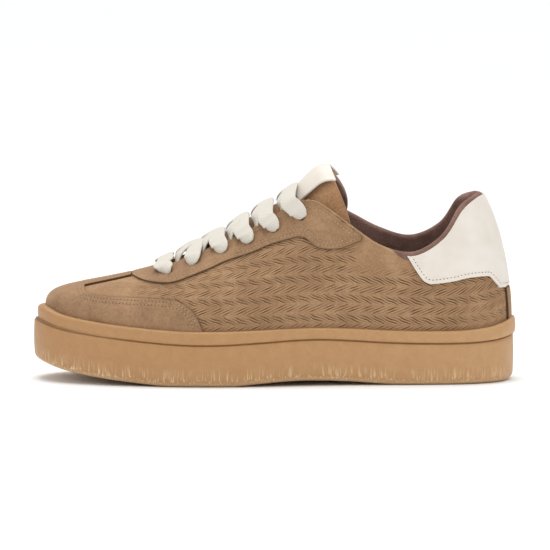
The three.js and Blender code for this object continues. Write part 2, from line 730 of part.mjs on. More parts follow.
// A place over the facing, from the eyelet at share 0 to the throat's edge at share 1, where the
// lace lies nearer the toe by its lean
function overFacing(eyelet, share, lean) {
  const step = THREE.MathUtils.lerp(eyelet.step, 1, share);
  const toeward = eyelet.a < 0.5 ? -1 : 1;
  const a = eyelet.a + (toeward * lean * share) / eyelet.pace;
  const face = upperNormal(a, step);
  return { point: upperPoint(a, step).addScaledVector(face, laceLift + share * LACE_EDGE_LIFT), face };
}

function laceMiddle(from, to, lift) {
  const point = from.edge.clone().lerp(from.start, 0.5).lerp(to.edge, 0.5);
  const low = tonguePlaceAt(point.x);
  const tangent = tongueLine.getTangent(low);
  point.z = tongueLine.getPoint(low).z + lift;
  return { point, face: new THREE.Vector3(-tangent.z, 0, tangent.x) };
}

function tonguePlaceAt(x) {
  let low = 0;
  let high = 1;
  for (let turn = 0; turn < 30; turn += 1) {
    const middle = (low + high) / 2;
    if (tongueLine.getPoint(middle).x < x) {
      low = middle;
    } else {
      high = middle;
    }
  }
  return low;
}

const laceClear = 2 * GAP + LACE_THICKNESS / 2 + 1;

// The bar goes over both facings; a crossing's two bands each rise in the gap between the facings
// and lie over the far one
function laceBar() {
  const outer = outerEyelets[0];
  const inner = innerEyelets[0];
  const stops = [0, 0.5, 1].map((share) => overFacing(outer, share, BAR_LEAN));
  const ends = [outer, inner].map((eyelet) => overFacing(eyelet, 1, BAR_LEAN));
  const point = ends[0].point.clone().add(ends[1].point).multiplyScalar(0.5);
  point.z += BAR_RISE;
  stops.push({ point, face: new THREE.Vector3(-0.5, 0, 1).normalize() });
  stops.push(...[1, 0.5, 0].map((share) => overFacing(inner, share, BAR_LEAN)));
  return toSolid(laceBand(stops));
}

function crossingBand(from, to, lift) {
  const middle = laceMiddle(from, to, laceClear + lift);
  const start = from.start.clone().lerp(middle.point, 0.55);
  start.z = THREE.MathUtils.lerp(from.start.z, middle.point.z, 0.75);
  const stops = [{ point: start, face: middle.face }, middle];
  stops.push(...[1, 0.5, 0].map((share) => overFacing(to, share, LACE_LEAN)));
  return toSolid(laceBand(stops));
}

function laceCrossing(k) {
  const outerLow = outerEyelets[k];
  const outerHigh = outerEyelets[k + 1];
  const innerLow = innerEyelets[k];
  const innerHigh = innerEyelets[k + 1];
  const lift = LACE_RISES[k];
  const first = crossingBand(outerLow, innerHigh, lift);
  const second = crossingBand(innerLow, outerHigh, lift + LACE_THICKNESS * 0.4);
  return first.add(second);
}

// Finishes
const gumRubber = { color: 0xb98d62, roughness: 0.55 };
const suede = { color: 0xb29270, roughness: 0.95 };
const embossedSuede = { color: 0xa98763, roughness: 0.95 };
const whiteLeather = { color: 0xe8e1d9, roughness: 0.5 };
const textile = { color: 0x967a70, roughness: 0.9 };
const cotton = { color: 0xe8e4dc, roughness: 0.9 };

const shoe = new THREE.Group();

function addPiece(name, geometry, finish) {
  geometry.computeVertexNormals();
  const mesh = new THREE.Mesh(geometry, new THREE.MeshStandardMaterial({ ...finish, metalness: 0 }));
  mesh.name = name;
  shoe.add(mesh);
}

const shell = overlayShell();
const heelTab = heelTabCutter();
const backstay = boxSolid(
  alongToX(0.9), FAR_RIGHT, -BACKSTAY_HALF_WIDTH, BACKSTAY_HALF_WIDTH, 0, upToZ(BACKSTAY_TOP) - GAP * 2,
);

addPiece("cupsole", cupsoleGeometry(), gumRubber);
addPiece("insole", insoleGeometry(), textile);
addPiece("upper", toGeometry(punched(toSolid(upperGeometry()))), embossedSuede);
addPiece("toe_cap", toGeometry(shell.intersect(toeCapCutter())), suede);
addPiece("eyestay", toGeometry(punched(shell.intersect(eyestayCutter(0)))), suede);
addPiece("heel_tab", toGeometry(shell.intersect(heelTab)), whiteLeather);
addPiece("backstay", toGeometry(shell.intersect(backstay).subtract(heelTab)), suede);
addPiece("tongue", tongueGeometry(), suede);
addPiece("tongue_label", labelGeometry(), whiteLeather);
addPiece("lace_bar", toGeometry(laceBar()), cotton);
for (let k = 0; k < EYELET_ROWS.length - 1; k += 1) {
  addPiece(`lace_cross_${k + 1}`, toGeometry(laceCrossing(k)), cotton);
}

// The shoe's box is centred on the origin
const box = new THREE.Box3().setFromObject(shoe);
shoe.position.set(-(box.min.x + box.max.x) / 2, -(box.min.y + box.max.y) / 2, 0);
shoe.updateMatrixWorld(true);

export default shoe;
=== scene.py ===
# %% [markdown]
# # A low court sneaker, finished in Blender
#
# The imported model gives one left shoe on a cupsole, as plain solids in metres. This lesson dresses
# each solid in its real shape and finish: gum rubber, suede, smooth leather, textile and cotton
# lace. The toe points to -X, the outer side of the foot to -Y and up is +Z. All sizes below are in
# millimetres until a mesh is made.

# %% Load the frame
import math

import bpy
import numpy as np
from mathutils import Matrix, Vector


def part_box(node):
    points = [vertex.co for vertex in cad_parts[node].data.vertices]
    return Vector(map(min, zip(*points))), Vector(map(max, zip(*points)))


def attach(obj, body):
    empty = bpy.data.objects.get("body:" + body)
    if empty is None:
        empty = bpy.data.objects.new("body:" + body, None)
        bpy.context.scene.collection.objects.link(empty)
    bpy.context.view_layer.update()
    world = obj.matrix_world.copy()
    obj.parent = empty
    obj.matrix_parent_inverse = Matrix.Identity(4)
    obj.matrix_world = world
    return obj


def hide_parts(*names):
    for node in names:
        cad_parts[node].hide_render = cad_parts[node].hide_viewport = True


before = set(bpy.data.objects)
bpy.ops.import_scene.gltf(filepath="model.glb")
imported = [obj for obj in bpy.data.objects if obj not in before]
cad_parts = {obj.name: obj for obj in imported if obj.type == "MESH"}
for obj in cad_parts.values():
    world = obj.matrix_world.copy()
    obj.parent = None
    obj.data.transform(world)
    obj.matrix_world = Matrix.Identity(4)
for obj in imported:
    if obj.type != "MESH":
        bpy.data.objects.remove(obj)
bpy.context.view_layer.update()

# %% [markdown]
# ## The camera first
#
# The picture is a plain product shot: the camera looks at the shoe's outer side from a few degrees
# above the floor, through a long lens, so that the far side hardly shrinks. The frame is 307.5 mm
# wide at the shoe.

# %% Camera
FRAME_WIDTH = 307.5
ELEVATION = math.radians(5)
DISTANCE = 2.6

camera_data = bpy.data.cameras.new("camera")
camera_data.sensor_width = 36
camera_data.lens = 36 * DISTANCE / (FRAME_WIDTH / 1000)
camera_data.clip_end = 50
camera = bpy.data.objects.new("camera", camera_data)
bpy.context.scene.collection.objects.link(camera)
bpy.context.scene.camera = camera
aim = Vector((0.0003, 0, 0.0581))
camera.location = aim + DISTANCE * Vector((0, -math.cos(ELEVATION), math.sin(ELEVATION)))
camera.rotation_euler = (math.pi / 2 - ELEVATION, 0, 0)
print("lens", round(camera_data.lens), "mm at", DISTANCE, "m")

# %% [markdown]
# ## Floor and light
#
# A white floor and a white room give the even light of a catalogue picture. A broad overhead light
# and a softbox above make the gentle shading and the soft shadow under the sole. A weaker softbox
# at each side keeps that shadow open.

# %% Small helpers for nodes and colours
def srgb(code):
    """A hex colour such as #B29270 as linear red, green, blue and alpha."""
    parts = [int(code[k:k + 2], 16) / 255 for k in (1, 3, 5)]
    linear = [v / 12.92 if v <= 0.04045 else ((v + 0.055) / 1.055) ** 2.4 for v in parts]
    return (*linear, 1.0)


def add(tree, kind, inputs=None, **settings):
    """Adds a node. An input is a value, or a socket or a node whose first output is linked to it."""
    made = tree.nodes.new(kind)
    for name, value in settings.items():
        setattr(made, name, value)
    for key, value in (inputs or {}).items():
        if isinstance(value, bpy.types.Node):
            value = value.outputs[0]
        if isinstance(value, bpy.types.NodeSocket):
            tree.links.new(value, made.inputs[key])
        else:
            made.inputs[key].default_value = value
    return made


def new_material(name, **constants):
    """A material with one Principled shader. The constants are set on its own sockets."""
    material = bpy.data.materials.new(name)
    material.use_nodes = True
    shader = material.node_tree.nodes["Principled BSDF"]
    for key, value in constants.items():
        shader.inputs[key.replace("_", " ")].default_value = value
    return material, material.node_tree, shader


def ramp_colours(made, stops):
    """Sets a colour ramp's stops as pairs of place and hex colour."""
    elements = made.color_ramp.elements
    while len(elements) > len(stops):
        elements.remove(elements[-1])
    while len(elements) < len(stops):
        elements.new(1)
    for element, (place, code) in zip(elements, stops):
        element.position = place
        element.color = srgb(code)


print("helpers ready")

# %% Floor and lights
floor_material, tree, shader = new_material("white painted floor", Roughness=0.9)
speck = add(tree, "ShaderNodeTexNoise", {"Scale": 40.0, "Detail": 2.0})
ramp = add(tree, "ShaderNodeValToRGB", {"Fac": speck})
ramp_colours(ramp, [(0.3, "#F8FAFB"), (0.7, "#FAFCFD")])
tree.links.new(ramp.outputs["Color"], shader.inputs["Base Color"])

bpy.ops.object.select_all(action="DESELECT")
bpy.ops.mesh.primitive_plane_add(size=40)
floor = bpy.context.object
floor.name = "floor"
floor.data.materials.append(floor_material)

world = bpy.data.worlds.new("white room")
world.use_nodes = True
world.node_tree.nodes["Background"].inputs["Color"].default_value = (1, 1, 1, 1)
world.node_tree.nodes["Background"].inputs["Strength"].default_value = 0.66
bpy.context.scene.world = world
bpy.context.scene.view_settings.view_transform = "Standard"

SHOE_MIDDLE = Vector((0, 0, 0.05))
for name, place, size, power in (
    ("softbox top", (-0.2, -0.35, 1.5), 0.9, 7),
    ("softbox left", (-1.3, -0.9, 0.8), 0.7, 3.0),
    ("softbox right", (1.3, -0.9, 0.8), 0.7, 3.5),
):
    data = bpy.data.lights.new(name, "AREA")
    data.size = size
    data.energy = power
    light = bpy.data.objects.new(name, data)
    bpy.context.scene.collection.objects.link(light)
    light.location = place
    light.rotation_euler = (SHOE_MIDDLE - Vector(place)).to_track_quat("-Z", "Y").to_euler()
overhead = bpy.data.lights.new("overhead light", "SUN")
overhead.energy = 1.35
overhead.angle = math.radians(40)
overhead_place = bpy.data.objects.new("overhead light", overhead)
overhead_place.rotation_euler = (math.radians(-22), 0, 0)
bpy.context.scene.collection.objects.link(overhead_place)
lights = [thing.name for thing in bpy.data.objects if thing.type == "LIGHT"]
print("a floor and", len(lights), "lights:", ", ".join(lights))

# %% [markdown]
# ## The shoe's own curves
#
# A shoe is drawn by two closed lines: the outline of its sole and the top edge of its upper. Both
# run from the toe tip along the outer side, round the heel and back, with the same place `a` from 0
# to 1. Between them, each section of the upper is one Bezier curve. The rows below are the shoe's
# sizes at 17 places from toe to heel; the two sides share them.

# %% Driving sizes
LENGTH = 268
BALL_WIDTH = 98
SOLE_HEIGHT = 31
UPPER_HEIGHT = 72
GAP = 0.3
WALL = 2.2
COLLAR_PAD = 2.4
OVERLAY_THICKNESS = 1.2
CUP_DRAFT = 1.5
LIP_INNER_DROP = 0.5

# along (share of the length), outer and inner (shares of the ball width)
OUTLINE_ROWS = np.array([
    (0.0, 0.05, 0.05), (0.017, -0.133, 0.235), (0.06, -0.265, 0.367), (0.133, -0.383, 0.439),
    (0.222, -0.459, 0.48), (0.311, -0.5, 0.49), (0.393, -0.505, 0.464), (0.474, -0.485, 0.418),
    (0.541, -0.45, 0.383), (0.6, -0.423, 0.362), (0.667, -0.4, 0.352), (0.741, -0.386, 0.357),
    (0.822, -0.374, 0.363), (0.896, -0.345, 0.347), (0.952, -0.273, 0.279), (0.987, -0.158, 0.163),
    (1.0, 0.0, 0.0),
])
# underside, groove, lip and cup floor (shares of the sole height), lip overhang, feather (mm)
SOLE_ROWS = np.array([
    (0.34, 1.09, 1.34, 0.8, -2.1, 7.8), (0.31, 1.05, 1.31, 0.78, -2.0, 7.6),
    (0.22, 0.96, 1.21, 0.71, -1.5, 6.6), (0.125, 0.884, 1.125, 0.6, -0.7, 5.4),
    (0.045, 0.81, 1.05, 0.5, 0.0, 4.4), (-0.02, 0.755, 1.0, 0.45, 0.2, 3.7),
    (-0.02, 0.752, 0.995, 0.46, 0.3, 3.3), (0.045, 0.79, 1.015, 0.49, 0.3, 3.2),
    (0.085, 0.825, 1.035, 0.51, 0.3, 3.2), (0.088, 0.835, 1.04, 0.53, 0.3, 3.2),
    (0.06, 0.805, 1.02, 0.55, 0.3, 3.2), (0.01, 0.765, 0.985, 0.57, 0.35, 3.2),
    (-0.02, 0.748, 0.968, 0.58, 0.45, 3.2), (-0.02, 0.748, 0.975, 0.58, 0.6, 3.2),
    (-0.02, 0.772, 1.02, 0.58, 0.9, 2.8), (-0.02, 0.82, 1.1, 0.58, 1.1, 2.4),
    (-0.02, 0.845, 1.15, 0.58, 1.1, 2.2),
])
# along, outer, inner, up, inner side's extra height, rise, bulge, reach, drop, padding
UPPER_ROWS = np.array([
    (0.256, 0.015, 0.015, 0.43, 0, 0.17, 0.012, 0.58, 0.15, 0),
    (0.257, -0.026, 0.056, 0.43, 0, 0.17, 0.012, 0.55, 0.15, 0),
    (0.264, -0.07, 0.1, 0.438, 0, 0.19, 0.015, 0.42, 0.13, 0),
    (0.29, -0.107, 0.13, 0.464, 0, 0.21, 0.02, 0.3, 0.12, 0),
    (0.334, -0.134, 0.149, 0.532, 0, 0.24, 0.024, 0.21, 0.12, 0),
    (0.389, -0.155, 0.163, 0.624, 0, 0.27, 0.024, 0.16, 0.13, 0),
    (0.444, -0.174, 0.179, 0.722, 0, 0.3, 0.02, 0.14, 0.16, 0),
    (0.5, -0.194, 0.194, 0.838, 0, 0.33, 0.014, 0.12, 0.2, 0),
    (0.546, -0.219, 0.219, 0.958, 0, 0.36, 0.01, 0.09, 0.25, 0.1),
    (0.593, -0.25, 0.245, 0.948, 0.01, 0.36, 0.01, 0.06, 0.28, 0.4),
    (0.659, -0.296, 0.286, 0.773, 0.045, 0.28, 0.014, 0.03, 0.24, 0.8),
    (0.722, -0.321, 0.311, 0.617, 0.075, 0.22, 0.018, 0.02, 0.19, 1),
    (0.789, -0.316, 0.306, 0.56, 0.07, 0.2, 0.018, 0.02, 0.17, 1),
    (0.85, -0.276, 0.27, 0.685, 0.045, 0.23, 0.016, 0.03, 0.2, 1),
    (0.89, -0.214, 0.214, 0.9, 0.03, 0.28, 0.01, 0.06, 0.26, 1),
    (0.92, -0.112, 0.112, 0.985, 0.012, 0.32, 0.004, 0.11, 0.22, 1),
    (0.934, 0.0, 0.0, 1.0, 0, 0.34, 0.0, 0.12, 0.2, 1),
])


def along_to_x(share):
    return (share - 0.5) * LENGTH


def up_to_z(share):
    return SOLE_HEIGHT + share * UPPER_HEIGHT


def both_sides(pick):
    """A closed table of 32 rows from 17: pick(row, inner) gives one row's numbers."""
    outer = [pick(row, False) for row in range(17)]
    inner = [pick(row, True) for row in range(15, 0, -1)]
    return np.array(outer + inner, dtype=float)


def outline_row(row, inner):
    along, outer, inner_side = OUTLINE_ROWS[row]
    return along_to_x(along), (inner_side if inner else outer) * BALL_WIDTH


def edge_row(row, inner):
    along, outer, inner_side, up, inner_up = UPPER_ROWS[row][:5]
    across = (inner_side if inner else outer) * BALL_WIDTH
    return along_to_x(along), across, up_to_z(up + (inner_up if inner else 0))


OUTLINE = both_sides(outline_row)
SOLE = both_sides(lambda row, inner: SOLE_ROWS[row])
TOP_EDGE = both_sides(edge_row)
SHAPE = both_sides(lambda row, inner: UPPER_ROWS[row][5:])
print("loops of", len(OUTLINE), "rows")

# %% [markdown]
# ## Curves and surfaces
#
# The tables become smooth closed curves. The upper's outer face is then one function of the place
# `a` and of a step from the lip to the top edge, and everything that lies on it uses that function.

# %% Points on the shoe's curves
def hermite(p1, p2, m1, m2, t):
    """A smooth way from p1 to p2 that leaves with slope m1 and arrives with slope m2."""
    return p1 + t * m1 + t**2 * (3 * (p2 - p1) - 2 * m1 - m2) + t**3 * (2 * (p1 - p2) + m1 + m2)


def loop_value(table, a):
    """A smooth closed curve through the table's rows, at the places a."""
    place = (np.asarray(a, dtype=float) % 1.0) * len(table)
    first = np.floor(place).astype(int)
    t = (place - first)[..., None]
    p0, p1, p2, p3 = (table[(first + k) % len(table)] for k in (-1, 0, 1, 2))
    return hermite(p1, p2, (p2 - p0) / 2, (p3 - p1) / 2, t)


def unit(vectors):
    return vectors / np.maximum(np.linalg.norm(vectors, axis=-1, keepdims=True), 1e-9)


def outward_at(a):
    tangent = unit(loop_value(OUTLINE, a + 1e-4) - loop_value(OUTLINE, a - 1e-4))
    return np.stack([tangent[..., 1], -tangent[..., 0], np.zeros(tangent.shape[:-1])], axis=-1)


def inset_point(a, inset, height):
    """A point inside the outline by an inset, at a height."""
    flat = loop_value(OUTLINE, a)
    point = np.stack([flat[..., 0], flat[..., 1], np.zeros(flat.shape[:-1])], axis=-1)
    point = point - outward_at(a) * np.asarray(inset)[..., None]
    point[..., 2] = height
    return point


def sole_at(a):
    """Underside, groove, lip and cup floor heights, lip overhang and feather at the places a."""
    row = loop_value(SOLE, a)
    bottom = np.maximum(0, row[..., 0]) * SOLE_HEIGHT
    return (bottom, row[..., 1] * SOLE_HEIGHT, row[..., 2] * SOLE_HEIGHT, row[..., 3] * SOLE_HEIGHT,
            row[..., 4], row[..., 5])


def upper_point(a, step):
    """The upper's outer face. step runs from -1 on the cup's floor to 0 at the lip and 1 at the edge."""
    a, step = np.broadcast_arrays(np.asarray(a, dtype=float), np.asarray(step, dtype=float))
    _, _, lip, cup_floor, _, feather = sole_at(a)
    at_lip = inset_point(a, feather, lip - LIP_INNER_DROP)
    at_floor = inset_point(a, feather + CUP_DRAFT, cup_floor + GAP)
    top = loop_value(TOP_EDGE, a)
    rise, bulge, reach, drop = (loop_value(SHAPE, a)[..., k] for k in range(4))
    away = at_lip - top
    away[..., 2] = 0
    low = at_lip + outward_at(a) * (bulge * BALL_WIDTH)[..., None]
    low[..., 2] += rise * UPPER_HEIGHT
    high = top + unit(away) * (reach * UPPER_HEIGHT)[..., None]
    high[..., 2] -= drop * UPPER_HEIGHT
    t = np.maximum(step, 0)[..., None]
    bezier = (1 - t)**3 * at_lip + 3 * (1 - t)**2 * t * low + 3 * (1 - t) * t**2 * high + t**3 * top
    under = at_lip + (at_floor - at_lip) * np.maximum(-step, 0)[..., None]
    return np.where((step < 0)[..., None], under, bezier)


def upper_normal(a, step):
    a, step = np.broadcast_arrays(np.asarray(a, dtype=float), np.asarray(step, dtype=float))
    small = 1e-3
    low = np.where(step < 0, -1, np.maximum(0, step - small))
    high = np.where(step < 0, 0, np.minimum(1, np.maximum(step, small) + small))
    across = upper_point(a + small, step) - upper_point(a - small, step)
    upward = upper_point(a, high) - upper_point(a, low)
    return unit(np.cross(across, upward))


def run_along(points):
    """The way in mm from the first point to each one."""
    return np.concatenate([[0], np.cumsum(np.linalg.norm(np.diff(points, axis=0), axis=1))])


def smoothstep(x, low, high):
    t = np.clip((x - low) / (high - low), 0, 1)
    return t * t * (3 - 2 * t)


def wall_at(a, step):
    return WALL + COLLAR_PAD * loop_value(SHAPE, a)[..., 4] * smoothstep(step, 0.3, 0.85)


ring = inset_point(np.arange(72) / 72, sole_at(np.arange(72) / 72)[5] + CUP_DRAFT + WALL + 0.6, 0.0)
insole_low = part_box("insole")[0] * 1000
SHIFT = np.array([insole_low.x - ring[:, 0].min(), insole_low.y - ring[:, 1].min(), 0.0])
print("the frame lies", np.round(SHIFT, 2), "mm from the drawing")

# %% [markdown]
# ## Meshes from rows of points
#
# A lasted shoe has hardly a flat place, so its big surfaces are laid out as fine grids of points on
# the curves above, rather than pushed into place from a primitive. A grid can keep a UV map in
# millimetres and named numbers, such as how deep the embossing is, for its material.

# %% Grid meshes
def make_mesh(name, points, faces, material, uv=None, numbers=None):
    """An object at the origin from points in mm and faces of four or three corners."""
    mesh = bpy.data.meshes.new(name)
    points = (np.asarray(points, dtype=float).reshape(-1, 3) + SHIFT) / 1000
    faces = np.asarray(faces)
    corners = faces.shape[1]
    mesh.vertices.add(len(points))
    mesh.vertices.foreach_set("co", points.astype(np.float32).ravel())
    mesh.loops.add(faces.size)
    mesh.loops.foreach_set("vertex_index", faces.astype(np.int32).ravel())
    mesh.polygons.add(len(faces))
    mesh.polygons.foreach_set("loop_start", np.arange(0, faces.size, corners, dtype=np.int32))
    mesh.polygons.foreach_set("use_smooth", np.ones(len(faces), dtype=bool))
    mesh.update(calc_edges=True)
    if uv is not None:
        layer = mesh.uv_layers.new(name="mm")
        layer.data.foreach_set("uv", np.asarray(uv, dtype=np.float32).reshape(-1, 2)[faces.ravel()].ravel())
    for key, values in (numbers or {}).items():
        store = mesh.attributes.new(key, "FLOAT", "POINT").data
        store.foreach_set("value", values.astype(np.float32).ravel())
    mesh.validate()
    piece = bpy.data.objects.new(name, mesh)
    bpy.context.scene.collection.objects.link(piece)
    piece.data.materials.append(material)
    return piece


def grid_faces(rows, columns, close_rows=False, close_columns=False):
    """Faces between neighbouring points of a grid, row by row."""
    i = np.arange(rows if close_rows else rows - 1)[:, None]
    j = np.arange(columns if close_columns else columns - 1)[None, :]
    after_i = (i + 1) % rows
    after_j = (j + 1) % columns
    corners = [i * columns + j, after_i * columns + j, after_i * columns + after_j, i * columns + after_j]
    return np.stack(corners, axis=-1).reshape(-1, 4)


def grid_normals(points, close_rows=False):
    """Normals of a grid from its neighbouring points."""
    if close_rows:
        along = np.roll(points, -1, axis=0) - np.roll(points, 1, axis=0)
    else:
        along = np.gradient(points, axis=0)
    return unit(np.cross(along, np.gradient(points, axis=1)))


def even_places(first, last, count):
    """Places a from first to last, evenly spaced along the sole's edge and the top edge together."""
    a = np.linspace(first, last, 2000)
    lip = loop_value(OUTLINE, a)
    top = loop_value(TOP_EDGE, a)
    run = np.linalg.norm(np.diff(lip, axis=0), axis=1) + 0.6 * np.linalg.norm(np.diff(top, axis=0), axis=1)
    length = np.concatenate([[0], np.cumsum(run)])
    return np.interp(np.linspace(0, length[-1], count), length, a)


def whole_loop(half):
    """Even places round the whole shoe, half of them on each side."""
    return np.concatenate([even_places(0, 0.5, half + 1)[:-1], even_places(0.5, 1, half + 1)[:-1]])


def over_toe(reach, half):
    """Even places on both sides of the toe tip, as far as reach."""
    return np.concatenate([even_places(1 - reach, 1.0, half)[:-1] - 1, even_places(0, reach, half)])


print("grid helpers ready")

# %% [markdown]
# ## Gum rubber
#
# The sole is natural gum rubber, pressed in a steel mould. It is a warm tan with a soft satin skin
# and a fine grain. Its foot shows a paler rubbed edge and short upright scuffs, and the groove under
# the lip has painted shade. The colour is a little lighter towards the heel. The scuffs are about
# 1 mm wide and 13 mm long. The skin's own grain is too fine to show, so it is drawn about 1.5 mm coarse.

# %% Gum rubber
gum, tree, shader = new_material("gum rubber, moulded", Roughness=0.5, IOR=1.52)
place = add(tree, "ShaderNodeTexCoord").outputs["Object"]
axes = add(tree, "ShaderNodeSeparateXYZ", {"Vector": place})
mottle = add(tree, "ShaderNodeTexNoise", {"Vector": place, "Scale": 170.0, "Detail": 8.0, "Roughness": 0.82})
tone = add(tree, "ShaderNodeMapRange", {"Value": axes.outputs["X"], "From Min": -0.13, "From Max": 0.13,
                                        "To Min": -0.02, "To Max": 0.42})
blend = add(tree, "ShaderNodeMath", {0: mottle, 1: 0.95}, operation="MULTIPLY")
blend = add(tree, "ShaderNodeMath", {0: tone, 1: blend}, operation="ADD")
ramp = add(tree, "ShaderNodeValToRGB", {"Fac": blend})
ramp_colours(ramp, [(0.3, "#A27648"), (0.65, "#AE8354"), (1.0, "#BB9163")])
streak_place = add(tree, "ShaderNodeMapping", {"Vector": place, "Scale": (1150.0, 1150.0, 75.0)})
streaks = add(tree, "ShaderNodeTexNoise", {"Vector": streak_place, "Scale": 1.0, "Detail": 3.0})
streaks = add(tree, "ShaderNodeMapRange", {"Value": streaks, "From Min": 0.53, "From Max": 0.64})
rise = add(tree, "ShaderNodeAttribute", attribute_name="rise").outputs["Fac"]
foot = add(tree, "ShaderNodeMapRange", {"Value": rise, "From Min": 10.5, "From Max": 3.0})
scuff = add(tree, "ShaderNodeMath", {0: streaks, 1: foot}, operation="MULTIPLY")
wear_and_painted_highlight = add(tree, "ShaderNodeMapRange", {"Value": rise, "From Min": 3.0, "From Max": 1.6, "To Max": 0.4})
scuff = add(tree, "ShaderNodeMath", {0: scuff, 1: wear_and_painted_highlight}, operation="MAXIMUM")
scuff = add(tree, "ShaderNodeMath", {0: scuff, 1: 0.7}, operation="MULTIPLY")
worn = add(tree, "ShaderNodeMix", {"Factor": scuff, "A": ramp, "B": srgb("#E2C8A2")},
           data_type="RGBA")
# Painted shade: the groove under the lip is mixed towards dark brown.
painted_groove_shade = add(tree, "ShaderNodeAttribute", attribute_name="painted_groove_shade").outputs["Fac"]
worn = add(tree, "ShaderNodeMix", {"Factor": painted_groove_shade, "A": worn.outputs["Result"], "B": srgb("#74481F")},
           data_type="RGBA")
tree.links.new(worn.outputs["Result"], shader.inputs["Base Color"])
grain = add(tree, "ShaderNodeTexNoise", {"Vector": place, "Scale": 650.0, "Detail": 4.0})
bump = add(tree, "ShaderNodeBump", {"Height": grain, "Strength": 0.5, "Distance": 0.0003})
tree.links.new(bump.outputs[0], shader.inputs["Normal"])
print("material:", gum.name)

# %% [markdown]
# ## Cupsole
#
# The cup is one moulding: a rounded foot, a wall that bows out a little, a fine groove and the lip
# band that hides the upper's edge. Its section is drawn once and carried round the outline. The
# underside gets the flex grooves of the solid and a fine cross tread between them.

# %% Cupsole
EDGE_RADIUS = 5
EDGE_HEIGHT = EDGE_RADIUS * 0.95
GROOVE_DEPTH = 0.9
GROOVE_ROWS = slice(18, 21)
FLEX_PITCH = 11
TREAD_PITCH = 3.6667


def cupsole_profile(a):
    """The section's points as inset and height, from under the foot over the lip to the cup floor."""
    bottom, groove, lip, cup_floor, lip_out, feather = sole_at(a)
    width = feather - GAP + lip_out
    section = []
    for turn in np.linspace(0, 1, 8):
        angle = turn * math.pi / 2
        section.append((EDGE_RADIUS * (1 - math.sin(angle)), bottom + EDGE_HEIGHT * (1 - math.cos(angle))))
    foot = bottom + EDGE_HEIGHT
    neck = groove - 0.8
    for t in np.linspace(0.12, 1, 9):
        section.append((-0.3 * math.sin(math.pi * t), foot + (neck - foot) * t))
    for inset, up in ((0.25, -0.6), (0.7, -0.35), (GROOVE_DEPTH, -0.05), (0.75, 0.25)):
        section.append((inset, groove + up))
    section.append((-lip_out + 0.25, groove + 0.5))
    top = lip - 1.5
    for t in np.linspace(0.0, 1, 6):
        section.append((-lip_out - 0.3 * np.sin(math.pi * t), groove + 0.75 + (top - groove - 0.75) * t))
    for share, down in ((0.05, 1.0), (0.13, 0.6), (0.25, 0.28), (0.4, 0.08), (0.55, 0.0), (0.75, 0.08)):
        section.append((-lip_out + share * width, lip - down))
    section.append((-lip_out + width, lip - LIP_INNER_DROP))
    section.append((-lip_out + width + 0.3, lip - 2.0))
    section.append((-lip_out + width + CUP_DRAFT, cup_floor))
    return section


AROUND = 640
around = whole_loop(AROUND // 2)
section = cupsole_profile(around)
wall = np.stack([inset_point(around, np.broadcast_to(i, around.shape), h) for i, h in section], axis=1)


def across_fill(ring_points, columns):
    """Fills a ring from side to side: rows run along the shoe, columns across it."""
    half = len(ring_points) // 2
    outer = ring_points[:half + 1]
    inner = ring_points[np.r_[0, np.arange(len(ring_points) - 1, half - 1, -1)]]
    t = np.linspace(0, 1, columns)[None, :, None]
    return outer[:, None] * (1 - t) + inner[:, None] * t


def tread_depth(points):
    """How far the tread is cut into the underside, in mm."""
    depth = np.zeros(points.shape[:-1])
    width = points[:, -1:, 1] - points[:, :1, 1]
    sides = (points[..., 1] - points[:, :1, 1]) / np.maximum(width, 1e-6)
    rim = np.minimum(sides, 1 - sides) * width
    inside = smoothstep(rim, 3.5, 4.5)
    for first, count in ((0.2, 6), (0.79, 4)):
        for k in range(count):
            away = np.abs(points[..., 0] - along_to_x(first) - FLEX_PITCH * k)
            depth = np.maximum(depth, 1.6 * (1 - smoothstep(away, 1.2, 1.7)) * inside)
    away = np.abs((points[..., 0] + 200) % TREAD_PITCH - TREAD_PITCH / 2)
    ribs = 0.5 * (1 - smoothstep(away, 0.35, 0.75))
    return np.maximum(depth, ribs * inside)


def cupsole_mesh():
    """The whole cup, with the height above the foot and the shade of the groove for its material."""
    levels = wall.shape[1]
    faces = [grid_faces(AROUND, levels, close_rows=True)]
    points = [wall.reshape(-1, 3)]
    tread = across_fill(wall[:, 0], 90)
    tread[..., 2] += tread_depth(tread)
    start = AROUND * levels
    faces.append(start + grid_faces(*tread.shape[:2])[:, ::-1])
    points.append(tread.reshape(-1, 3))
    start += tread.shape[0] * tread.shape[1]
    bed = across_fill(wall[:, -1], 12)
    faces.append(start + grid_faces(*bed.shape[:2]))
    points.append(bed.reshape(-1, 3))
    rises = [wall[..., 2] - wall[:, :1, 2], np.zeros(tread.shape[:2]), np.full(bed.shape[:2], 20.0)]
    rise = np.concatenate([part.ravel() for part in rises])
    painted_groove_shade = np.zeros(len(rise))
    # Painted shade: the rows of the groove under the lip are marked to be painted darker.
    painted_groove_shade[:AROUND * levels].reshape(-1, levels)[:, GROOVE_ROWS] = 0.7
    return np.concatenate(points), np.concatenate(faces), {"rise": rise, "painted_groove_shade": painted_groove_shade}


def make_active(piece):
    bpy.ops.object.select_all(action="DESELECT")
    piece.select_set(True)
    bpy.context.view_layer.objects.active = piece


def clean_up(piece):
    """Merges doubled points, as at the seams of a filled ring."""
    make_active(piece)
    bpy.ops.object.mode_set(mode="EDIT")
    bpy.ops.mesh.select_all(action="SELECT")
    bpy.ops.mesh.remove_doubles(threshold=1e-5)
    bpy.ops.object.mode_set(mode="OBJECT")


def finish_piece(piece, slot_name, *nodes):
    """Rides the piece on the shoe's one body and hides the CAD nodes it replaces."""
    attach(piece, "root")
    if nodes:
        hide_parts(*nodes)
    print(piece.name, len(piece.data.polygons), "faces")


points, faces, numbers = cupsole_mesh()
cupsole = make_mesh("cupsole_gum", points, faces, gum, numbers=numbers)
clean_up(cupsole)
finish_piece(cupsole, "gum_rubber", "cupsole")
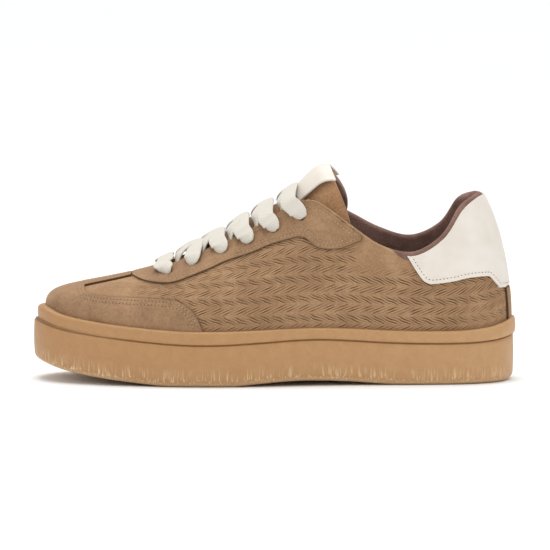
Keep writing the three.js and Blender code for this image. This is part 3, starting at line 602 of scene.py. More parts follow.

# %% [markdown]
# ## Suede
#
# Suede is the brushed flesh side of a hide. Light catches its nap in soft patches, it has no gloss
# and a faint sheen at glancing angles. The upper's suede is embossed with rows of slanted strokes
# that meet like herringbone, the overlays are plain and the tongue is a little warmer. All come from
# one recipe: the embossed kind has painted shade in its grooves and a painted highlight on the ridges
# beside them, and the plain kind has a thin line of painted shade along its cut edge. The patches
# are about 18 mm wide. The fibres are finer than a pixel, so they are drawn as a speckle of about
# 1.3 mm and its finer octaves.

# %% Suede
STROKE_PITCH = 3.45
STROKE_SLOPE = 0.42
ROW_PITCH = 10.9
STROKE_DEPTH = 0.85
RIM_HEIGHT = 0.3
FIRST_APEX = 3.3


def suede_material(name, dark, middle, light, stroke_dark=None, ridge_highlight=None, edge_shade=None):
    """Brushed suede; given colours paint shade in the strokes, a highlight on their ridges or shade at the cut
    edge.
    """
    material, tree, shader = new_material(name, Roughness=0.95, Specular_IOR_Level=0.2, Sheen_Weight=0.25,
                                          Sheen_Roughness=0.5, Sheen_Tint=srgb("#E8CDAE"))
    place = add(tree, "ShaderNodeTexCoord").outputs["Object"]
    patches = add(tree, "ShaderNodeTexNoise", {"Vector": place, "Scale": 55.0, "Detail": 5.0,
                                               "Roughness": 0.62, "Distortion": 0.6})
    fibres = add(tree, "ShaderNodeTexNoise", {"Vector": place, "Scale": 750.0, "Detail": 3.0,
                                              "Roughness": 0.7})
    fibre_share = add(tree, "ShaderNodeMath", {0: fibres, 1: 0.42}, operation="MULTIPLY")
    patch_share = add(tree, "ShaderNodeMath", {0: patches, 1: 0.58}, operation="MULTIPLY")
    nap = add(tree, "ShaderNodeMath", {0: fibre_share, 1: patch_share}, operation="ADD")
    ramp = add(tree, "ShaderNodeValToRGB", {"Fac": nap})
    ramp_colours(ramp, [(0.36, dark), (0.5, middle), (0.64, light)])
    colour = ramp.outputs["Color"]
    if stroke_dark:
        # Painted shade: the groove number darkens the pressed strokes towards stroke_dark.
        groove = add(tree, "ShaderNodeAttribute", attribute_name="groove").outputs["Fac"]
        ragged = add(tree, "ShaderNodeMapRange", {"Value": fibres, "From Min": 0.3, "From Max": 0.7,
                                                  "To Min": 0.6, "To Max": 1.0})
        deep = add(tree, "ShaderNodeMapRange", {"Value": groove, "From Min": 0.25, "From Max": 0.8})
        share = add(tree, "ShaderNodeMath", {0: deep, 1: ragged}, operation="MULTIPLY")
        # Painted highlight: the rim number lightens the ridges beside the strokes.
        rim = add(tree, "ShaderNodeAttribute", attribute_name="rim").outputs["Fac"]
        wear_and_painted_highlight = add(tree, "ShaderNodeMapRange", {"Value": rim, "From Min": 0.2, "From Max": 0.9,
                                                  "To Max": 0.75})
        colour = add(tree, "ShaderNodeMix", {"Factor": wear_and_painted_highlight, "A": colour, "B": srgb(ridge_highlight)},
                     data_type="RGBA").outputs["Result"]
        colour = add(tree, "ShaderNodeMix", {"Factor": share, "A": colour, "B": srgb(stroke_dark)},
                     data_type="RGBA").outputs["Result"]
    if edge_shade:
        # Painted shade: a thin dark line along the cut edge, in place of the shadow gap under the hide.
        edge = add(tree, "ShaderNodeAttribute", attribute_name="edge").outputs["Fac"]
        edge_shade_share = add(tree, "ShaderNodeMapRange", {"Value": edge, "From Min": 0.5, "From Max": 0.0,
                                               "To Max": 0.85})
        colour = add(tree, "ShaderNodeMix", {"Factor": edge_shade_share, "A": colour, "B": srgb(edge_shade)},
                     data_type="RGBA").outputs["Result"]
    tree.links.new(colour, shader.inputs["Base Color"])
    bump = add(tree, "ShaderNodeBump", {"Height": fibres, "Strength": 0.5, "Distance": 0.0003})
    tree.links.new(bump.outputs[0], shader.inputs["Normal"])
    return material


# 573A20 is painted shade in the grooves and #C6A480 a painted highlight on the ridges.
embossed_suede = suede_material("suede, embossed", "#8E6D50", "#9D7B5B", "#AD8B69", "#573A20", "#C6A480")
# 4E3723 is painted shade along the plain suede's cut edge.
plain_suede = suede_material("suede, plain", "#81634A", "#947457", "#A58363", edge_shade="#4E3723")
tongue_suede = suede_material("suede, brushed for the tongue", "#866346", "#A17A58", "#B68E6A")
print("materials:", embossed_suede.name, plain_suede.name, tongue_suede.name)

# %% [markdown]
# ## Sections of the upper
#
# Every section of the upper runs up the outer face, over the rolled collar and down the lining. It
# is measured by its length in millimetres from the lip, so that the suede and the lining can be cut
# where the real ones meet: inside the throat, but outside along the padded collar, where the
# textile lining is turned over the edge.

# %% Sections
LIP_STEP = 2
SUEDE_TURN_IN = 6.0
COLLAR_BAND = 1.6
LINING_OVERLAP = 1.0


def sections(a):
    """Points of whole sections and their lengths from the lip, and the length at the top edge."""
    steps = np.concatenate([[-1, -0.5], np.linspace(0, 1, 60)])
    grid_a, grid_step = np.meshgrid(a, steps, indexing="ij")
    outer = upper_point(grid_a, grid_step)
    inner = outer - upper_normal(grid_a, grid_step) * wall_at(grid_a, grid_step)[..., None]
    middle = (outer[:, -1] + inner[:, -1]) / 2
    half = (outer[:, -1] - inner[:, -1]) / 2
    height = np.linalg.norm(half, axis=1) * 0.85
    roll = []
    for angle in np.linspace(0, math.pi, 16)[1:-1]:
        point = middle + half * math.cos(angle)
        point[:, 2] += height * math.sin(angle)
        roll.append(point)
    points = np.concatenate([outer, np.stack(roll, axis=1), inner[:, ::-1]], axis=1)
    ways = np.cumsum(np.linalg.norm(np.diff(points, axis=1), axis=2), axis=1)
    length = np.concatenate([np.zeros((len(a), 1)), ways], axis=1)
    lip = length[:, LIP_STEP]
    return points, length - lip[:, None], length[:, len(steps) - 1] - lip


def resample(points, length, wanted):
    """Points of each section at the wanted lengths."""
    made = np.empty((*wanted.shape, 3))
    for row in range(len(points)):
        for axis in range(3):
            made[row, :, axis] = np.interp(wanted[row], length[row], points[row, :, axis])
    return made


def collar_share(a):
    """0 in the throat, where suede is turned in, and 1 along the padded collar."""
    x = loop_value(TOP_EDGE, a)[:, 0]
    return np.where(np.asarray(a) % 1.0 <= 0.5, smoothstep(x, 58, 74), smoothstep(x, 28, 40))


print("a section is", round(float(sections(np.array([0.3]))[2][0])), "mm high at the quarter")

# %% [markdown]
# ## Embossed upper
#
# The strokes are pressed into the suede, so they are real relief here: each groove is up to 0.85 mm
# deep, with a low ridge pushed up beside it. They are strong along the quarters, fade over the vamp,
# are weaker low on the heel and stay away from the plain area below the front of the collar.

# %% Embossed upper
def stroke_relief(x, y, z, t):
    """Shares of the embossed grooves and of the ridges pushed up beside them."""
    bend = np.arctan2(np.maximum(x - 97, 0), np.abs(y))
    run = np.minimum(x, 97) + 35 * bend
    wobble = 0.35 * np.sin(run * 0.31 + t * 0.22) + 0.25 * np.sin(run * 0.77 - t * 0.53)
    from_apex = (t - FIRST_APEX + 0.3 * wobble + ROW_PITCH / 2) % ROW_PITCH - ROW_PITCH / 2
    reach = np.abs(from_apex)
    phase = (run + wobble + reach / STROKE_SLOPE) / STROKE_PITCH
    odd = np.round(phase) % 2
    middle = np.where(odd > 0.5, 3.5, 1.9)
    spindle = 0.42 + 0.58 * np.exp(-((reach - middle) / 1.4)**2)
    lower_arm = 0.82 + 0.18 * np.sin(run * 0.53 + t * 0.4)
    spindle = spindle * np.where(from_apex < 0, lower_arm, 1)
    wave = np.abs(np.cos(math.pi * phase))
    groove = wave**2.4 * spindle
    rim = np.abs(np.cos(math.pi * (phase + 0.33)))**3 * spindle
    arm = smoothstep(ROW_PITCH / 2 - reach, 0.0, 1.0) * (0.35 + 0.65 * smoothstep(reach, 0.0, 0.9))
    vamp = smoothstep(x, -104, -56)
    plain = smoothstep(x, 40, 50) * (1 - smoothstep(x, 72, 84)) * smoothstep(z, 58, 68)
    low_heel = smoothstep(x, 98, 108) * (1 - smoothstep(z, 40, 52))
    strength = arm * vamp * (1 - 0.9 * plain) * (1 - 0.25 * low_heel)
    return groove * strength, rim * strength


def suede_half(name, first, last):
    """The suede of one side, from below the lip to its turned-in or covered top."""
    a = even_places(first, last, 520)
    points, length, top = sections(a)
    end = top + (1 - collar_share(a)) * SUEDE_TURN_IN - collar_share(a) * COLLAR_BAND
    start = np.full(len(a), -4.0)
    wanted = start[:, None] + (end - start)[:, None] * np.linspace(0, 1, 170)[None, :]
    grid = resample(points, length, wanted)
    normals = grid_normals(grid)
    x, y, z = (grid + SHIFT)[..., 0], (grid + SHIFT)[..., 1], grid[..., 2]
    border = smoothstep(wanted, 0.0, 1.5) * (1 - smoothstep(wanted, (end - 1.5)[:, None], end[:, None]))
    groove, rim = (share * border for share in stroke_relief(x, y, z, wanted))
    grid = grid - normals * (STROKE_DEPTH * groove - RIM_HEIGHT * rim)[..., None]
    uv = np.stack([x, wanted], axis=-1)
    numbers = {"groove": groove, "rim": rim}
    return make_mesh(name, grid, grid_faces(*grid.shape[:2]), embossed_suede, uv, numbers)


for name, first in (("upper_outer_side", 0.0), ("upper_inner_side", 0.5)):
    finish_piece(suede_half(name, first, first + 0.5), "embossed_suede", "upper")

# %% [markdown]
# ## Lining and collar edge
# The lining is a brushed polyester knit over foam. Along the collar it is rolled over the edge and
# turned down outside, which leaves a soft mauve band. The tongue is lined with the same knit in paler
# colours: painted light, as the tongue's lining lies in shade.

# %% Textile lining
def knit_material(name, dark, light):
    """A fine knit: loops about 0.9 mm apart, drawn a little coarser than life so that they show."""
    material, tree, shader = new_material(name, Roughness=0.9, Specular_IOR_Level=0.2, Sheen_Weight=0.35,
                                          Sheen_Roughness=0.4, Sheen_Tint=srgb("#D9C2B8"))
    place = add(tree, "ShaderNodeTexCoord").outputs["Object"]
    loops = add(tree, "ShaderNodeTexVoronoi", {"Vector": place, "Scale": 1100.0})
    patches = add(tree, "ShaderNodeTexNoise", {"Vector": place, "Scale": 90.0, "Detail": 4.0})
    ramp = add(tree, "ShaderNodeValToRGB", {"Fac": patches})
    ramp_colours(ramp, [(0.35, dark), (0.65, light)])
    tree.links.new(ramp.outputs["Color"], shader.inputs["Base Color"])
    bump = add(tree, "ShaderNodeBump", {"Height": loops, "Strength": 0.5, "Distance": 0.0004})
    tree.links.new(bump.outputs[0], shader.inputs["Normal"])
    return material


lining_knit = knit_material("brushed polyester knit", "#6E5248", "#8A6B60")
# Painted light: the same knit in paler colours for the tongue's lining, which lies in shade.
tongue_knit = knit_material("brushed polyester knit, painted lighter for the tongue", "#86685D", "#A38578")

# %% Lining
def lining_mesh():
    """From the turned edge down the inside, finer where it rolls over the collar."""
    a = whole_loop(260)
    points, length, top = sections(a)
    share = collar_share(a)
    start = top + (1 - share) * (SUEDE_TURN_IN - LINING_OVERLAP) - share * (COLLAR_BAND + LINING_OVERLAP)
    end = length[:, -1]
    spread = np.concatenate([np.linspace(0, 0.18, 24), np.linspace(0.19, 1, 50)])
    wanted = start[:, None] + (end - start)[:, None] * spread[None, :]
    grid = resample(points, length, wanted)
    past_edge = wanted - start[:, None]
    lift = 0.55 * np.sqrt(np.clip(past_edge / 1.2, 0, 1)) * share[:, None] - 0.15
    grid = grid + grid_normals(grid, close_rows=True) * lift[..., None]
    return grid


grid = lining_mesh()
lining = make_mesh("collar_lining", grid, grid_faces(*grid.shape[:2], close_rows=True), lining_knit)
finish_piece(lining, "lining", "upper")

# %% [markdown]
# ## Insole
#
# A foam footbed with the same knit on top, a slab with soft edges that fills the cup.

# %% Insole
def insole_mesh():
    a = np.linspace(0, 1, 201)[:-1]
    _, _, _, cup_floor, _, feather = sole_at(a)
    inset = feather + CUP_DRAFT + WALL + 0.6
    levels = ((0.9, 0.3), (0.2, 0.9), (0.0, 1.8), (0.0, 3.6), (0.25, 4.2), (0.7, 4.6), (1.4, 4.8))
    rings = np.stack([inset_point(a, inset + extra, cup_floor + up) for extra, up in levels], axis=1)
    top = across_fill(rings[:, -1], 24)
    under = across_fill(rings[:, 0], 8)
    sides = grid_faces(len(a), len(levels), close_rows=True)
    start = rings.shape[0] * rings.shape[1]
    top_faces = start + grid_faces(*top.shape[:2])
    start += top.shape[0] * top.shape[1]
    under_faces = start + grid_faces(*under.shape[:2])[:, ::-1]
    points = np.concatenate([rings.reshape(-1, 3), top.reshape(-1, 3), under.reshape(-1, 3)])
    return points, np.concatenate([sides, top_faces, under_faces])


insole = make_mesh("insole_footbed", *insole_mesh(), lining_knit)
clean_up(insole)
finish_piece(insole, "lining", "insole")

# %% [markdown]
# ## Overlays
#
# Toe cap, eyestay, heel tab and backstay are flat-cut hides laid over the upper. Each outline is
# drawn from the side, as a pattern cutter would draw it, and the sheet follows the upper's own
# surface. Points near the outline are moved onto it, so the cut edge is clean, and Solidify then
# gives the hide its thickness.

# %% Overlay outlines
TOE_CAP_EDGE = [(0.106, 0.34), (0.112, 0.265), (0.134, 0.242), (0.18, 0.236), (0.241, 0.233), (0.29, 0.226),
                (0.316, 0.196), (0.34, 0.12), (0.362, -0.05)]
EYESTAY_EDGE = [(0.206, 0.38), (0.236, 0.352), (0.274, 0.342), (0.306, 0.362), (0.368, 0.452), (0.403, 0.51),
                (0.453, 0.573), (0.495, 0.64), (0.538, 0.69), (0.553, 0.703), (0.566, 0.69), (0.578, 0.652),
                (0.59, 0.622), (0.604, 0.611), (0.623, 0.61), (0.644, 0.62), (0.682, 0.68)]
HEEL_TAB_EDGE = [(0.772, 0.58), (0.791, 0.461), (0.806, 0.38), (0.817, 0.35), (0.831, 0.343), (0.87, 0.36),
                 (0.903, 0.385), (0.939, 0.392), (0.948, 0.38), (0.964, 0.311), (0.972, 0.297), (1.04, 0.3)]
FAR_LEFT = along_to_x(-0.1)
FAR_RIGHT = along_to_x(1.1)
FAR_UP = up_to_z(2)
STEM_HALF_WIDTH = 11
EYELET_RADIUS = 2.0
EYELET_DEPTH = 8


def smooth_edge(rows, count):
    """A smooth open line through the rows, in side view."""
    points = np.array([(along_to_x(along), up_to_z(up)) for along, up in rows])
    place = np.linspace(0, 1, count + 1) * (len(points) - 1)
    first = np.minimum(np.floor(place).astype(int), len(points) - 1)
    t = (place - first)[:, None]
    last = len(points) - 1
    p0, p1 = points[np.maximum(first - 1, 0)], points[first]
    p2, p3 = points[np.minimum(first + 1, last)], points[np.minimum(first + 2, last)]
    return hermite(p1, p2, (p2 - p0) / 2, (p3 - p1) / 2, t)


def polygon_distance(x, z, polygon):
    """Distance to a closed outline in side view, negative inside it."""
    nearest = np.full(x.shape, 1e9)
    inside = np.zeros(x.shape, dtype=bool)
    for (x0, z0), (x1, z1) in zip(polygon, np.roll(polygon, -1, axis=0)):
        run_x, run_z = x1 - x0, z1 - z0
        t = np.clip(((x - x0) * run_x + (z - z0) * run_z) / (run_x**2 + run_z**2 + 1e-12), 0, 1)
        nearest = np.minimum(nearest, (x - x0 - t * run_x)**2 + (z - z0 - t * run_z)**2)
        if z0 != z1:
            crosses = ((z0 > z) != (z1 > z)) & (x < (x1 - x0) * (z - z0) / (z1 - z0) + x0)
            inside ^= crosses
    return np.where(inside, -1, 1) * np.sqrt(nearest)


def eyestay_distance(points, grow=0.0):
    edge = smooth_edge(EYESTAY_EDGE, 80) - grow
    polygon = np.array([*edge, (edge[-1][0], FAR_UP), (edge[0][0], FAR_UP)])
    return polygon_distance(points[..., 0], points[..., 2], polygon)


def toe_cap_distance(points):
    edge = smooth_edge(TOE_CAP_EDGE, 60)
    front = [(FAR_LEFT, FAR_UP), (FAR_LEFT, 0), (edge[-1][0], 0)]
    polygon = np.array([*front[1:], *edge[::-1], (edge[0][0], FAR_UP), front[0]])
    guard = polygon_distance(points[..., 0], points[..., 2], polygon)
    middle = TOP_EDGE[0][1] + 1
    stem_front, stem_back = edge[0][0] - 4, along_to_x(EYESTAY_EDGE[1][0])
    stem_ends = np.maximum(stem_front - points[..., 0], points[..., 0] - stem_back)
    stem = np.maximum(np.abs(points[..., 1] - middle) - STEM_HALF_WIDTH, stem_ends)
    return np.maximum(np.minimum(guard, stem), -eyestay_distance(points, GAP))


def heel_tab_distance(points):
    edge = smooth_edge(HEEL_TAB_EDGE, 70)
    polygon = np.array([*edge, (FAR_RIGHT, FAR_UP), (edge[0][0], FAR_UP)])
    return polygon_distance(points[..., 0], points[..., 2], polygon)


def backstay_distance(points):
    strip = np.maximum(np.abs(points[..., 1]) - STEM_HALF_WIDTH, along_to_x(0.9) - points[..., 0])
    return np.maximum(strip, points[..., 2] - (up_to_z(0.3) - 0.6))


print("overlay outlines drawn")

# %% [markdown]
# ## Eyelets
#
# Six holes a side are punched through the eyestay, with no metal ring. They are placed along the
# throat, and each lies its own way below the throat's edge.

# %% Eyelets
EYELET_ROWS = [(0.325, 16.5), (0.36, 12.3), (0.408, 9), (0.458, 9), (0.508, 9), (0.558, 9)]
LACE_START = 2.8


def eyelet_places(inner):
    """Six eyelets on a side, each its own setback below the throat's edge."""
    found = []
    a_line = np.linspace(0, 9 / 32, 4000)
    x_line = loop_value(TOP_EDGE, a_line)[:, 0]
    for along, setback in EYELET_ROWS:
        a = float(np.interp(along_to_x(along), x_line, a_line))
        a = 1 - a if inner else a
        steps = np.linspace(1, 0.3, 1400)
        line = upper_point(a, steps)
        run = run_along(line)
        step = float(np.interp(setback, run, steps))
        edge = upper_point(a, 1.0)
        pace = np.linalg.norm(upper_point(a + 0.001, 1.0) - edge) / 0.001
        point = upper_point(a, step)
        start = float(np.interp(point[0] + LACE_START, x_line, a_line))
        start = upper_point(1 - start if inner else start, 1.0)
        found.append(dict(a=a, step=step, point=point, normal=upper_normal(a, step), edge=edge, pace=pace,
                          start=start))
    return found


OUTER_EYELETS = eyelet_places(False)
INNER_EYELETS = eyelet_places(True)


def eyelet_distance(points):
    """Distance from the nearest eyelet's axis, where the hole goes through."""
    nearest = np.full(points.shape[:-1], 1e9)
    for eyelet in OUTER_EYELETS + INNER_EYELETS:
        away = points - eyelet["point"]
        through = np.sum(away * eyelet["normal"], axis=-1, keepdims=True)
        flat = np.linalg.norm(away - through * eyelet["normal"], axis=-1)
        nearest = np.where(np.abs(through[..., 0]) < EYELET_DEPTH, np.minimum(nearest, flat), nearest)
    return nearest


print("eyelets:", len(OUTER_EYELETS) + len(INNER_EYELETS))

# %% Cutting an overlay from the upper's surface
def slopes(distance, a, step):
    """The outline distance, how it changes with a and step, and how the surface runs with them."""
    small = 2e-4
    here = upper_point(a, step)
    beside = upper_point(a + small, step)
    above_step = np.where(step + small > 1, step - small, step + small)
    above = upper_point(a, above_step)
    d = distance(here)
    along = (beside - here) / small
    up = (above - here) / (above_step - step)[..., None]
    d_along = (distance(beside) - d) / small
    d_up = (distance(above) - d) / (above_step - step)
    return d, d_along, d_up, along, up


def surface_slope(d_along, d_up, along, up):
    """The change of a and step for the steepest way, and how steep it is in mm for each mm."""
    e = np.sum(along * along, axis=-1)
    f = np.sum(along * up, axis=-1)
    g = np.sum(up * up, axis=-1)
    spread = np.maximum(e * g - f * f, 1e-9)
    to_a = (g * d_along - f * d_up) / spread
    to_step = (e * d_up - f * d_along) / spread
    steep = np.sqrt(np.maximum(to_a * d_along + to_step * d_up, 1e-12))
    return to_a, to_step, steep


def overlay_grid(distance, a, steps, low=0.012):
    """Grid places with the outline's nearest ones moved onto it, the faces kept and true distances."""
    a, step = np.meshgrid(a, np.maximum(steps, low), indexing="ij")
    d = distance(upper_point(a, step))
    inside = d < -0.12
    faces = grid_faces(*a.shape)
    faces = faces[inside.ravel()[faces].any(axis=1)]
    used = np.zeros(a.size, dtype=bool)
    used[faces.ravel()] = True
    flat_a, flat_step = a.ravel().copy(), step.ravel().copy()
    moving = np.flatnonzero(used & ~inside.ravel())
    for _ in range(8):
        d, d_along, d_up, along, up = slopes(distance, flat_a[moving], flat_step[moving])
        to_a, to_step, steep = surface_slope(d_along, d_up, along, up)
        move = 0.8 * np.clip(d, -1.5, 1.5) / np.maximum(steep, 0.6)**2
        flat_a[moving] -= move * to_a
        flat_step[moving] = np.clip(flat_step[moving] - move * to_step, low, 1)
    order = np.flatnonzero(used)
    number = np.full(a.size, -1)
    number[order] = np.arange(len(order))
    d, d_along, d_up, along, up = slopes(distance, flat_a[order], flat_step[order])
    steep = surface_slope(d_along, d_up, along, up)[2]
    return flat_a[order], flat_step[order], number[faces], d / np.maximum(steep, 0.3)


def apply_modifier(piece, kind, **settings):
    make_active(piece)
    modifier = piece.modifiers.new(kind.title(), kind)
    for name, value in settings.items():
        setattr(modifier, name, value)
    bpy.ops.object.modifier_apply(modifier=modifier.name)


def overlay_piece(name, distance, a, steps, material, rows=(2.0, 4.2)):
    """One hide, rounded at its edge and drawn in along its stitch rows."""
    at_a, at_step, faces, edge = overlay_grid(distance, a, steps)
    from_edge = np.maximum(-edge, 0)
    lift = GAP + OVERLAY_THICKNESS - 0.3 * np.exp(-(from_edge / 0.6)**2)
    for row in rows:
        lift -= 0.22 * np.exp(-((from_edge - row) / 0.5)**2)
    points = upper_point(at_a, at_step) + upper_normal(at_a, at_step) * lift[:, None]
    piece = make_mesh(name, points, faces, material, numbers={"edge": from_edge})
    apply_modifier(piece, "SOLIDIFY", thickness=(OVERLAY_THICKNESS - 0.1) / 1000, offset=-1)
    bpy.ops.object.shade_smooth_by_angle(angle=math.radians(40))
    return piece


print("overlay tools ready")

# %% [markdown]
# ## White leather
#
# The heel tab and the label are smooth full-grain leather with a thin finish. The finish gives it a
# soft satin light, and the creases a hint of cream. Its pores lie a few tenths of a millimetre
# apart, and are drawn 0.7 mm apart so that they show.

# %% White leather
white_leather, tree, shader = new_material("white full-grain leather, smooth", Roughness=0.45, IOR=1.48,
                                           Coat_Weight=0.08, Coat_Roughness=0.35)
place = add(tree, "ShaderNodeTexCoord").outputs["Object"]
pores = add(tree, "ShaderNodeTexVoronoi", {"Vector": place, "Scale": 1400.0})
folds = add(tree, "ShaderNodeTexNoise", {"Vector": place, "Scale": 70.0, "Detail": 4.0})
ramp = add(tree, "ShaderNodeValToRGB", {"Fac": folds})
ramp_colours(ramp, [(0.3, "#D9D0C4"), (0.7, "#E2DAD0")])
tree.links.new(ramp.outputs["Color"], shader.inputs["Base Color"])
bump = add(tree, "ShaderNodeBump", {"Height": pores, "Strength": 0.25, "Distance": 0.0002})
tree.links.new(bump.outputs[0], shader.inputs["Normal"])
print("material:", white_leather.name)

# %% Toe cap, eyestay, heel tab and backstay
def eyestay_cut(points):
    return np.maximum(eyestay_distance(points), EYELET_RADIUS - eyelet_distance(points))


toe_places, toe_steps = over_toe(0.28, 230), np.linspace(0, 1, 150)
toe_cap = overlay_piece("toe_cap_suede", toe_cap_distance, toe_places, toe_steps, plain_suede)
finish_piece(toe_cap, "suede", "toe_cap")

stay_places, stay_steps = over_toe(0.38, 330), np.linspace(0.2, 1, 110)
eyestay = overlay_piece("eyestay_suede", eyestay_cut, stay_places, stay_steps, plain_suede)
finish_piece(eyestay, "suede", "eyestay")

heel_places, heel_steps = np.linspace(0.36, 0.64, 330), np.linspace(0.25, 1, 120)
heel_tab = overlay_piece("heel_tab_leather", heel_tab_distance, heel_places, heel_steps, white_leather,
                         (2.2,))
finish_piece(heel_tab, "white_leather", "heel_tab")

back_places, back_steps = np.linspace(0.46, 0.54, 60), np.linspace(0, 0.6, 70)
backstay = overlay_piece("backstay_suede", backstay_distance, back_places, back_steps, plain_suede, (2.0,))
finish_piece(backstay, "suede", "backstay")

# %% [markdown]
# ## Stitching
#
# The suede overlays are sewn with two rows of thread in the colour of the hide, the backstay and the
# throat's edge with one, and the heel tab with one white row. One stitch and one needle hole are
# modelled, then copied along lines that keep their distance from the cut edge; the needle hole is a
# flat dark disc of painted shade. There is a stitch about every 2 mm, as on a real upper. The
# thread's twist is finer than a pixel and is drawn as a speckle of 0.7 mm.

# %% One stitch and one needle hole
def speckled_material(name, dark, light):
    """A matt surface with a very fine speckle: twisted thread, or the painted shade of a needle hole."""
    material, tree, shader = new_material(name, Roughness=0.7)
    place = add(tree, "ShaderNodeTexCoord").outputs["Object"]
    twist = add(tree, "ShaderNodeTexNoise", {"Vector": place, "Scale": 1500.0, "Detail": 1.0})
    ramp = add(tree, "ShaderNodeValToRGB", {"Fac": twist})
    ramp_colours(ramp, [(0.35, dark), (0.65, light)])
    tree.links.new(ramp.outputs["Color"], shader.inputs["Base Color"])
    return material


tan_thread = speckled_material("tan polyester thread", "#9C7A58", "#B4936E")
white_thread = speckled_material("white polyester thread", "#D8CFC2", "#E4DCD0")
# The needle holes are flat dark discs: painted shade where each hole lies.
hole_dark = speckled_material("painted shade of a needle hole in suede", "#4A3422", "#594029")
hole_soft = speckled_material("painted shade of a needle hole, softened by the nap", "#7A5F45", "#876B4E")


def one_shape(scale, segments, rings):
    """The points and faces, in mm, of a little rounded body modelled once."""
    bpy.ops.object.select_all(action="DESELECT")
    bpy.ops.mesh.primitive_uv_sphere_add(segments=segments, ring_count=rings, radius=1)
    body = bpy.context.object
    bpy.ops.object.mode_set(mode="EDIT")
    bpy.ops.mesh.select_all(action="SELECT")
    bpy.ops.transform.resize(value=scale)
    bpy.ops.mesh.quads_convert_to_tris()
    bpy.ops.object.mode_set(mode="OBJECT")
    points = np.array([vertex.co for vertex in body.data.vertices])
    faces = np.array([list(face.vertices) for face in body.data.polygons])
    bpy.data.objects.remove(body, do_unlink=True)
    return points, faces


STITCH_PITCH = 2.05
STITCH = one_shape((0.85, 0.3, 0.28), 8, 5)
# A flat disc in a dark colour: painted shade for one needle hole.
HOLE = one_shape((0.34, 0.34, 0.1), 6, 4)
print("stitch of", len(STITCH[1]), "faces, hole of", len(HOLE[1]))

# %% Lines at a distance from a cut edge
def contour(field, level):
    """Chains of grid places where the field crosses the level."""
    above = field > level
    cells = above[:-1, :-1].astype(int) + above[1:, :-1] + above[:-1, 1:] + above[1:, 1:]
    links = {}
    for i, j in np.argwhere((cells > 0) & (cells < 4)):
        corners = [(i, j), (i + 1, j), (i + 1, j + 1), (i, j + 1)]
        crossed = [tuple(sorted((corners[k], corners[(k + 1) % 4]))) for k in range(4)
                   if above[corners[k]] != above[corners[(k + 1) % 4]]]
        for first, second in zip(crossed[::2], crossed[1::2]):
            links.setdefault(first, []).append(second)
            links.setdefault(second, []).append(first)
    chains = []
    while links:
        ends = [key for key, near in links.items() if len(near) == 1]
        key = ends[0] if ends else next(iter(links))
        chain = [key]
        while True:
            following = [other for other in links.pop(key) if other in links]
            if not following:
                break
            key = following[0]
            chain.append(key)
        chains.append(chain)
    lines = []
    for chain in chains:
        places = []
        for first, second in chain:
            share = (level - field[first]) / (field[second] - field[first])
            places.append(np.array(first) * (1 - share) + np.array(second) * share)
        lines.append(np.array(places))
    return lines


def stitch_lines(distance, a, steps, rows, trim):
    """Places a and step of lines that lie inside the cut edge by each row's distance."""
    grid_a, grid_step = np.meshgrid(a, np.clip(steps, 0.012, 0.999), indexing="ij")
    d, d_along, d_up, along, up = slopes(distance, grid_a, grid_step)
    true_distance = d / np.clip(surface_slope(d_along, d_up, along, up)[2], 0.35, 1.5)
    found = []
    for row in rows:
        for line in contour(true_distance, -row):
            if len(line) > 12:
                at_a = np.interp(line[:, 0], np.arange(len(a)), a)
                at_step = np.interp(line[:, 1], np.arange(len(steps)), np.clip(steps, 0.012, 0.999))
                keep = at_step > trim
                found.append((at_a[keep], at_step[keep]))
    return found


def smooth_line(values, times):
    for _ in range(times):
        values = np.concatenate([values[:1], (values[:-2] + 2 * values[1:-1] + values[2:]) / 4, values[-1:]])
    return values


def sew(name, lines, lift, thread, hole):
    """Copies of the stitch along each line, and dark discs of painted shade for needle holes between them."""
    stitches, gaps = [], []
    for at_a, at_step in lines:
        if len(at_a) < 8:
            continue
        at_a, at_step = smooth_line(at_a, 6), smooth_line(at_step, 6)
        run = run_along(upper_point(at_a, at_step))
        at = (np.arange(int(run[-1] / STITCH_PITCH)) + 0.5) * STITCH_PITCH
        before, after = (upper_point(np.interp(at + way, run, at_a), np.interp(at + way, run, at_step))
                         for way in (-0.4, 0.4))
        for found, share in ((stitches, 0.0), (gaps, 0.5)):
            line_a = np.interp(at + share * STITCH_PITCH, run, at_a)
            line_step = np.interp(at + share * STITCH_PITCH, run, at_step)
            normal = upper_normal(line_a, line_step)
            found.append((upper_point(line_a, line_step) + normal * lift, unit(after - before), normal))
    pieces = []
    kinds = ((name, STITCH, stitches, thread), (name + "_holes", HOLE, gaps, hole))
    for key, shape, found, material in kinds:
        parts = (np.concatenate([line[k] for line in found]) for k in range(3))
        pieces.append(copies(key, shape, *parts, material))
    return pieces


def copies(name, shape, centre, tangent, normal, material):
    """One mesh of the shape's copies, each turned to its tangent and normal."""
    side = unit(np.cross(normal, tangent))
    points, faces = shape
    placed = (centre[:, None] + tangent[:, None] * points[None, :, :1] + side[:, None] * points[None, :, 1:2]
              + normal[:, None] * points[None, :, 2:])
    all_faces = faces[None] + (np.arange(len(centre)) * len(points))[:, None, None]
    return make_mesh(name, placed, all_faces.reshape(-1, faces.shape[1]), material)


SURFACE = GAP + OVERLAY_THICKNESS - 0.18
TWO_ROWS = (1.9, 4.0)
for name, distance, places, steps, rows, thread, hole, slot_name in (
    ("toe_cap", toe_cap_distance, toe_places, toe_steps, TWO_ROWS, tan_thread, hole_dark, "suede"),
    ("eyestay", eyestay_distance, stay_places, stay_steps, TWO_ROWS, tan_thread, hole_soft, "suede"),
    ("heel_tab", heel_tab_distance, heel_places, heel_steps, (2.2,), white_thread, hole_dark, "white_leather"),
    ("backstay", backstay_distance, back_places, back_steps, (2.0,), tan_thread, hole_dark, "suede"),
):
    lines = stitch_lines(distance, places, steps, rows, 0.03)
    stitches, holes = sew(f"{name}_stitches", lines, SURFACE, thread, hole)
    finish_piece(stitches, slot_name)
    finish_piece(holes, slot_name)

